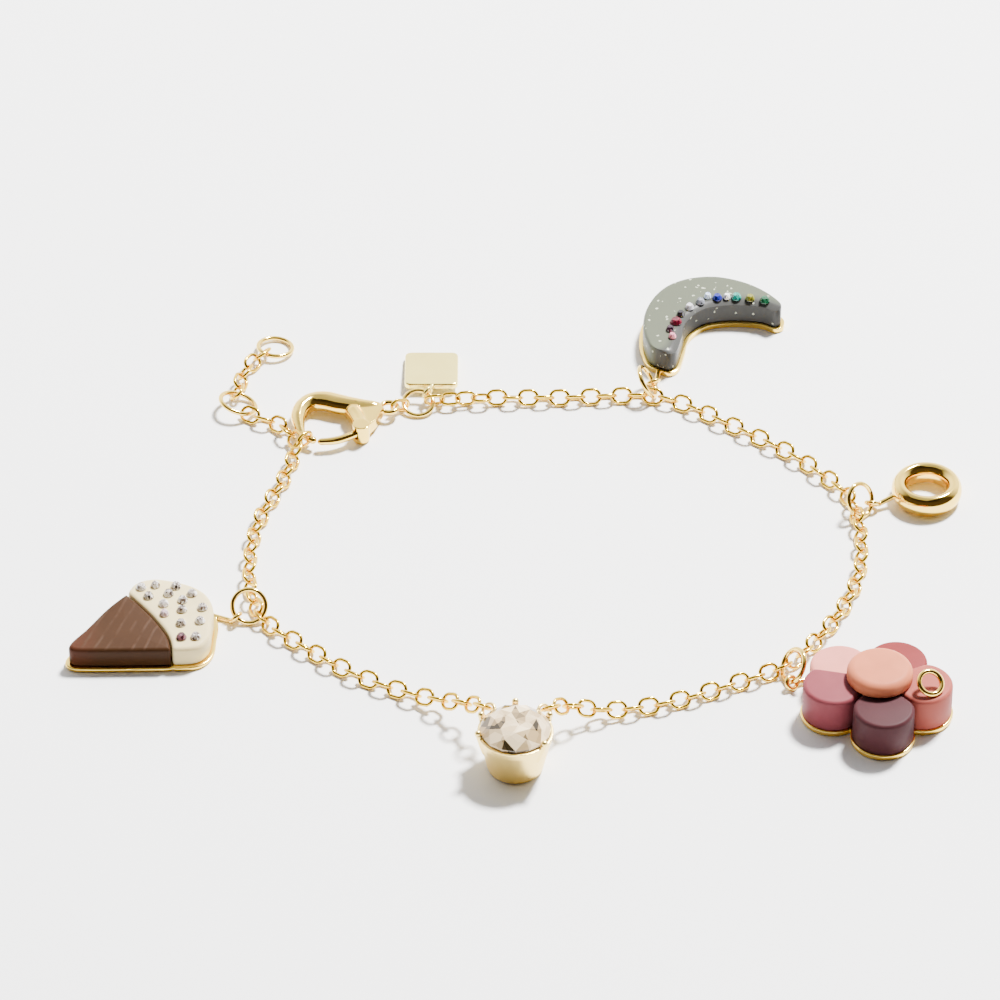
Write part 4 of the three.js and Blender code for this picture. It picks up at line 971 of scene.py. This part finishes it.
small_ring = leaning_ring(*LOOSE_RING_PLACE, 1.1, 0.34, 300, 35)
small_ring["wire"] = LOOSE_RING_WIRE
small_ring["center"] = small_ring["center"] + [0, 0, PETAL_TOP + SEAT]
finish_piece("flower_loose_ring", mesh_of("flower_loose_ring", [shell_of_ring(small_ring)]),
             ring_gold, ["flower_small_ring"])

# The moon is a crescent tray of gold filled with grey-green resin full of fine glitter. Its
# top is broad and level, with a shallow bevel at the inner edge. Twelve cut stones of
# different colours are set along that edge.
MOON_AT = np.array([21.0, 26.0, 0.0])
TRAY_THICKNESS, TRAY_LIP, MOON_THICKNESS = 0.5, 0.35, 2.2
MOON_EYE_SIDE, MOON_EYE_FOOT = 46, (-5.2, -5.2, TRAY_THICKNESS / 2)
STONE_TABLE, STONE_CROWN, STONE_GIRDLE, MOON_STONE_DEPTH = 0.58, 0.38, 0.06, 0.2
FLECK_START = 0.978
MOON_INNER = ((-5.2, -6.0), (-4.35, -6.3), (-3.75, -5.9), (-3.1, -3.6), (-2.7, -1.4), (-1.9, 0.0),
              (-0.8, 1.05), (0.9, 1.6), (3.1, 1.7), (5.2, 1.35), (6.3, 0.75), (6.85, 0.95))
MOON_OUTER = ((-5.2, -6.0), (-6.1, -5.3), (-6.6, -3.9), (-6.85, -2.2), (-6.6, 0.6), (-5.7, 3.0),
              (-4.2, 4.9), (-2.0, 6.05), (0.5, 6.3), (2.9, 5.6), (4.7, 4.5), (6.2, 3.0), (6.95, 1.8),
              (6.85, 0.95))
MOON_STONES = (
    ("plum", -4.2, -2.75, 0.42, (0.03, 0.006, 0.02)), ("pink", -4.0, -3.9, 0.4, (0.5, 0.16, 0.22)),
    ("maroon", -3.6, -1.5, 0.6, (0.09, 0.002, 0.012)), ("black", -3.1, -0.3, 0.42, (0.012, 0.01, 0.014)),
    ("clear_a", -2.2, 0.85, 0.45, (0.4, 0.39, 0.42)), ("grey", -1.1, 1.75, 0.45, (0.16, 0.17, 0.2)),
    ("clear_b", -0.35, 2.6, 0.4, (0.4, 0.48, 0.8)), ("blue", 0.6, 2.4, 0.5, (0.003, 0.006, 0.16)),
    ("white", 1.55, 2.5, 0.38, (0.6, 0.6, 0.6)), ("teal", 2.5, 2.5, 0.52, (0.001, 0.17, 0.13)),
    ("olive", 3.85, 2.3, 0.48, (0.12, 0.115, 0.01)), ("green", 5.3, 1.95, 0.52, (0.001, 0.055, 0.02)),
)


def blended(tree, share, first, second):
    """The first colour where the share is nought and the second where it is one."""
    mix = add_node(tree, "Mix")
    mix.data_type = "RGBA"
    set_inputs(tree, mix, {0: share, 6: first, 7: (*second, 1)})
    return mix.outputs[2]


def glitter_material(name):
    """Grey-green resin with bright flecks: small cells of which the few with the highest random
    share shine. Towards its inner edge the colour darkens, a painted shade for the shaded bevel."""
    material, tree, shader, place = resin_shader(name, 0.3, 0.03)
    across = add_node(tree, "Attribute")
    across.attribute_name = "across"
    # Painted shade: darker towards the inner edge, where the bevel lies in shade.
    bevel_shade_band = add_ramp(tree, across.outputs["Fac"], (0.3, (0.056, 0.056, 0.053)), (0.75, (0.1, 0.11, 0.078)))
    fleck = add_ramp(tree, random_cells(tree, 5200), (0.0, (0, 0, 0)), (FLECK_START, (1, 1, 1)))
    fleck.color_ramp.interpolation = "CONSTANT"
    set_inputs(tree, shader, {
        "Base Color": blended(tree, fleck.outputs["Color"], bevel_shade_band.outputs["Color"], (0.42, 0.44, 0.34)),
        "Normal": fine_grain(tree, place),
    })
    return material


def moon_lines(grow, steps):
    """The crescent's inner and outer line from tip to tip, set out along their normals. Their
    points crowd towards the tips."""
    share = (1 - np.cos(np.linspace(0, np.pi, steps))) / 2
    lines = []
    for points in (MOON_INNER, MOON_OUTER):
        fine = smooth_line(points)
        run = run_along(fine)
        lines.append(read_off(share * run[-1], run, fine))
    loop = np.vstack([lines[0], lines[1][-2:0:-1]])
    along = unit(np.roll(loop, -1, axis=0) - np.roll(loop, 1, axis=0))
    loop = loop + np.stack([along[:, 1], -along[:, 0]], axis=1) * grow
    return loop[:steps], np.vstack([loop[:1], loop[steps:][::-1], loop[steps - 1:steps]])


def crescent_mesh(name, bottom, top, grow, bevel, bevel_reach, edge, steps=120, top_steps=30):
    """Sections carried from tip to tip, each from the inner line to the outer. The top falls in
    a bevel by the distance from the inner line, and in a quarter round by that from the outer,
    so it rounds off where the two meet. The tips are single points, so doubles are merged."""
    inner, outer = moon_lines(grow, steps)
    share = np.linspace(1, 0, top_steps)
    length = np.linalg.norm(outer - inner, axis=1)[:, None]
    from_outer = np.clip((1 - share) * length / edge, 0, 1)
    fall = bevel * np.clip(1 - share * length / bevel_reach, 0, 1) ** 1.3
    fall = fall + edge * (1 - np.sqrt(1 - (1 - from_outer) ** 2))
    across = np.concatenate([[0.0, 1.0], share])
    flat = inner[:, None] + (outer - inner)[:, None] * across[None, :, None]
    z = np.concatenate([np.full((steps, 2), bottom), top - fall], axis=1)
    points = np.concatenate([flat, z[..., None]], axis=-1).reshape(-1, 3) + MOON_AT
    columns = len(across)
    mesh = mesh_of(name, [(points, quads(steps, columns, rows_close=False).tolist())])
    reach = (across[None, :] * length / 2).astype(np.float32)
    mesh.attributes.new("across", "FLOAT", "POINT").data.foreach_set("value", reach.ravel())
    shape = bmesh.new()
    shape.from_mesh(mesh)
    bmesh.ops.remove_doubles(shape, verts=shape.verts, dist=1e-8)
    shape.to_mesh(mesh)
    shape.free()
    return mesh


moon_base = TRAY_THICKNESS + SEAT
moon_mesh = crescent_mesh("moon_resin", moon_base, moon_base + MOON_THICKNESS, 0.0, 0.3, 0.7, 0.4)
moon_back = crescent_mesh("moon_back", 0, TRAY_THICKNESS, TRAY_LIP, 0.05, 0.1, 0.08)
for mesh in (moon_mesh, moon_back):
    mesh.set_sharp_from_angle(angle=SHARP_ANGLE)
finish_piece("moon_resin", moon_mesh, glitter_material("glitter_resin"), ["moon_body"])
finish_piece("moon_back", moon_back, plate_gold, ["moon_tray"])
moon_eye = eye_shells(moon_ring, MOON_EYE_SIDE, MOON_AT + MOON_EYE_FOOT)
cast_piece("moon_eye", moon_eye, plate_gold, "moon_tray", FINE_VOXEL, 2)
stone_base = TRAY_THICKNESS + MOON_THICKNESS + 2 * SEAT
for number, (stone, x, y, radius, stone_color) in enumerate(MOON_STONES):
    color = np.array(stone_color)
    shell = cut_stone(MOON_AT + [x, y, stone_base], radius, radius * STONE_TABLE, STONE_CROWN,
                      STONE_GIRDLE, MOON_STONE_DEPTH, number * 17)
    piece_name = "moon_gem_" + stone
    # Each stone's dark and bright tones are painted facet shade and glints on its own colour.
    gem_look = gem_material(piece_name, color * 0.25, color, np.minimum(color * 1.9 + 0.015, 1))
    finish_piece(piece_name, facet_mesh(piece_name, [shell], number, 0.8), gem_look,
                 ["stone_moon_" + stone])

# The cone is a gold back plate with a brown half, over which faint slanting strokes are
# drawn, and a cream half strewn with clear cut stones. A narrow seam parts the two.
CONE_AT, CONE_TURN = np.array([-40.0, -25.2, 0.0]), np.radians(30)
CONE_PLATE, CONE_LIP, CONE_THICKNESS, CONE_ROUND, CONE_SEAM = 0.4, 0.35, 1.95, 0.4, 0.12
LIP_ROUND, CONE_EYE_SIDE, CONE_EYE_FOOT = 0.05, -50, (13.4, 2.4, CONE_PLATE / 2)
WAFER_TONE, TIP_HIGHLIGHT_TONE = (0.036, 0.015, 0.0056), (0.075, 0.02, 0.011)
STROKE_TONE = (0.052, 0.025, 0.013)
CONE_JOIN = ((8.35, -4.65), (8.95, -2.9), (9.1, -0.3), (8.9, 2.4), (8.55, 4.9))
WAFER_EDGE = ((8.55, 4.9), (6.0, 3.9), (2.9, 2.2), (0.55, 1.05), (0.1, 0.5), (0.35, -0.05), (1.3, -0.7),
              (4.9, -2.75), (8.35, -4.65))
CREAM_EDGE = ((8.35, -4.65), (10.6, -5.55), (12.1, -4.9), (13.4, -3.1), (14.6, -1.2), (15.0, 0.9),
              (14.5, 2.6), (13.2, 4.3), (11.6, 5.6), (9.9, 5.8), (8.55, 4.9))
CONE_STONES = (
    (10.0, 4.7, 0.5), (11.3, 4.3, 0.45), (12.9, 3.2, 0.5), (13.7, 1.5, 0.5), (10.0, 3.2, 0.5),
    (11.8, 2.6, 0.5), (10.7, 1.5, 0.5), (12.5, 1.1, 0.5), (10.1, 0.2, 0.45), (11.8, -0.1, 0.5),
    (10.8, -1.8, 0.5), (13.6, -0.8, 0.5), (12.5, -2.4, 0.5), (11.1, -4.2, 0.5), (9.9, -3.6, 0.5),
)


def closed_outline(*runs, count=200, soften=0.3):
    """One closed line of smooth runs, each ending where the next begins, in even steps. Each
    point is then a mean of those near it, weighed by a bell curve, which softens the corners."""
    loop = np.vstack([smooth_line(run, 60 * len(run))[:-1] for run in runs])
    loop = np.vstack([loop, loop[:1]])
    run = run_along(loop)
    even = np.arange(count) * run[-1] / count
    loop = read_off(even, run, loop)
    apart = np.minimum(even, run[-1] - even)
    weight = np.exp(-(apart / soften) ** 2 / 2)
    spectrum = np.fft.fft(loop, axis=0) * np.fft.fft(weight / weight.sum())[:, None]
    return np.fft.ifft(spectrum, axis=0).real


def in_cone(shell):
    return turned(shell[0], CONE_TURN) + CONE_AT, shell[1]


def multiplied(tree, first, second):
    node = add_node(tree, "Math", {0: first, 1: second})
    node.operation = "MULTIPLY"
    return node.outputs["Value"]


def wafer_material():
    """Brown resin with faint strokes drawn slantwise over its top: narrow waves, broken up by
    a cloud, cut into the surface. Towards the tip, at the low end of x, it turns redder and
    lighter, a painted reddish highlight."""
    material, tree, shader, place = resin_shader("wafer_resin", 0.42, 0.03)
    slanted = add_node(tree, "Mapping", {"Vector": place, "Rotation": (0, 0, np.radians(21))})
    wave = add_node(tree, "TexWave", {"Vector": slanted.outputs["Vector"], "Scale": 290,
                                      "Distortion": 1.8}).outputs["Fac"]
    cloud = add_node(tree, "TexNoise", {"Vector": place, "Scale": 420}).outputs["Fac"]
    stroke = multiplied(tree, add_range(tree, wave, 0.78, 0.98), add_range(tree, cloud, 0.42, 0.6))
    split = add_node(tree, "SeparateXYZ", {"Vector": place}).outputs
    top = CONE_PLATE + SEAT + CONE_THICKNESS + SHIFT[2]
    on_top = multiplied(tree, stroke, add_range(tree, split["Z"], (top - 0.2) * MM, (top - 0.05) * MM))
    tip = CONE_AT[0] + SHIFT[0]
    # Painted highlight: towards the tip the brown turns redder and lighter, standing for the reddish
    # light on the tip's side.
    tip_highlight = add_range(tree, split["X"], (tip - 1.0) * MM, (tip + 3.0) * MM, 0.75, 0.0)
    brown = blended(tree, tip_highlight, clouded(tree, place, WAFER_TONE), TIP_HIGHLIGHT_TONE)
    bump = add_node(tree, "Bump", {"Height": on_top, "Strength": 0.14, "Distance": 0.0001})
    set_inputs(tree, shader, {"Base Color": blended(tree, on_top, brown, STROKE_TONE),
                              "Normal": bump.outputs["Normal"]})
    return material


wafer_outline = closed_outline(WAFER_EDGE, CONE_JOIN)
cream_outline = closed_outline(CREAM_EDGE, CONE_JOIN[::-1])
cone_rows = edged_rows(CONE_PLATE + SEAT, CONE_PLATE + SEAT + CONE_THICKNESS, CONE_ROUND, 7)
seam_rows = [(inset + CONE_SEAM / 2, height) for inset, height in cone_rows]
cream_look = resin_material("cream_resin", (0.68, 0.56, 0.29), 0.36)
for piece_name, half, look, node in (
    ("cone_brown_half", wafer_outline, wafer_material(), "cone_wafer"),
    ("cone_cream_half", cream_outline, cream_look, "cone_cream"),
):
    mesh = mesh_of(piece_name, [in_cone(puck_shell(half, seam_rows))])
    mesh.set_sharp_from_angle(angle=SHARP_ANGLE)
    finish_piece(piece_name, mesh, look, [node])
lip_rows = [(-CONE_LIP + LIP_ROUND, 0), (-CONE_LIP, LIP_ROUND),
            (-CONE_LIP, CONE_PLATE - LIP_ROUND), (-CONE_LIP + LIP_ROUND, CONE_PLATE)]
cone_shells = [in_cone(puck_shell(half, lip_rows)) for half in (wafer_outline, cream_outline)]
cone_shells += eye_shells(cone_ring, CONE_EYE_SIDE, turned(CONE_EYE_FOOT, CONE_TURN) + CONE_AT)
cast_piece("cone_back", cone_shells, plate_gold, "cone_plate", PLATE_VOXEL, 2)
# Each cut glass has a dark, middle and bright tone for its painted facet shade and glints.
cone_gems = {
    0: gem_material("clear_cut_glass", (0.02, 0.014, 0.012), (0.17, 0.125, 0.1), (1.0, 0.97, 0.93)),
    9: gem_material("pink_cut_glass", (0.03, 0.015, 0.02), (0.35, 0.2, 0.24), (0.95, 0.8, 0.85)),
    15: gem_material("plum_cut_glass", (0.01, 0.003, 0.005), (0.05, 0.012, 0.018), (0.3, 0.13, 0.16)),
}
cone_stone_base = CONE_PLATE + CONE_THICKNESS + 2 * SEAT
for number, (x, y, radius) in enumerate(CONE_STONES, 1):
    shell = in_cone(cut_stone(np.array([x, y, cone_stone_base]), radius, radius * STONE_TABLE,
                              STONE_CROWN, STONE_GIRDLE, 0.0, number * 23))
    piece_name = f"cone_gem_{number:02d}"
    finish_piece(piece_name, facet_mesh(piece_name, [shell], 40 + number, 0.6),
                 cone_gems.get(number, cone_gems[0]),
                 [f"stone_cone_{number:02d}"])
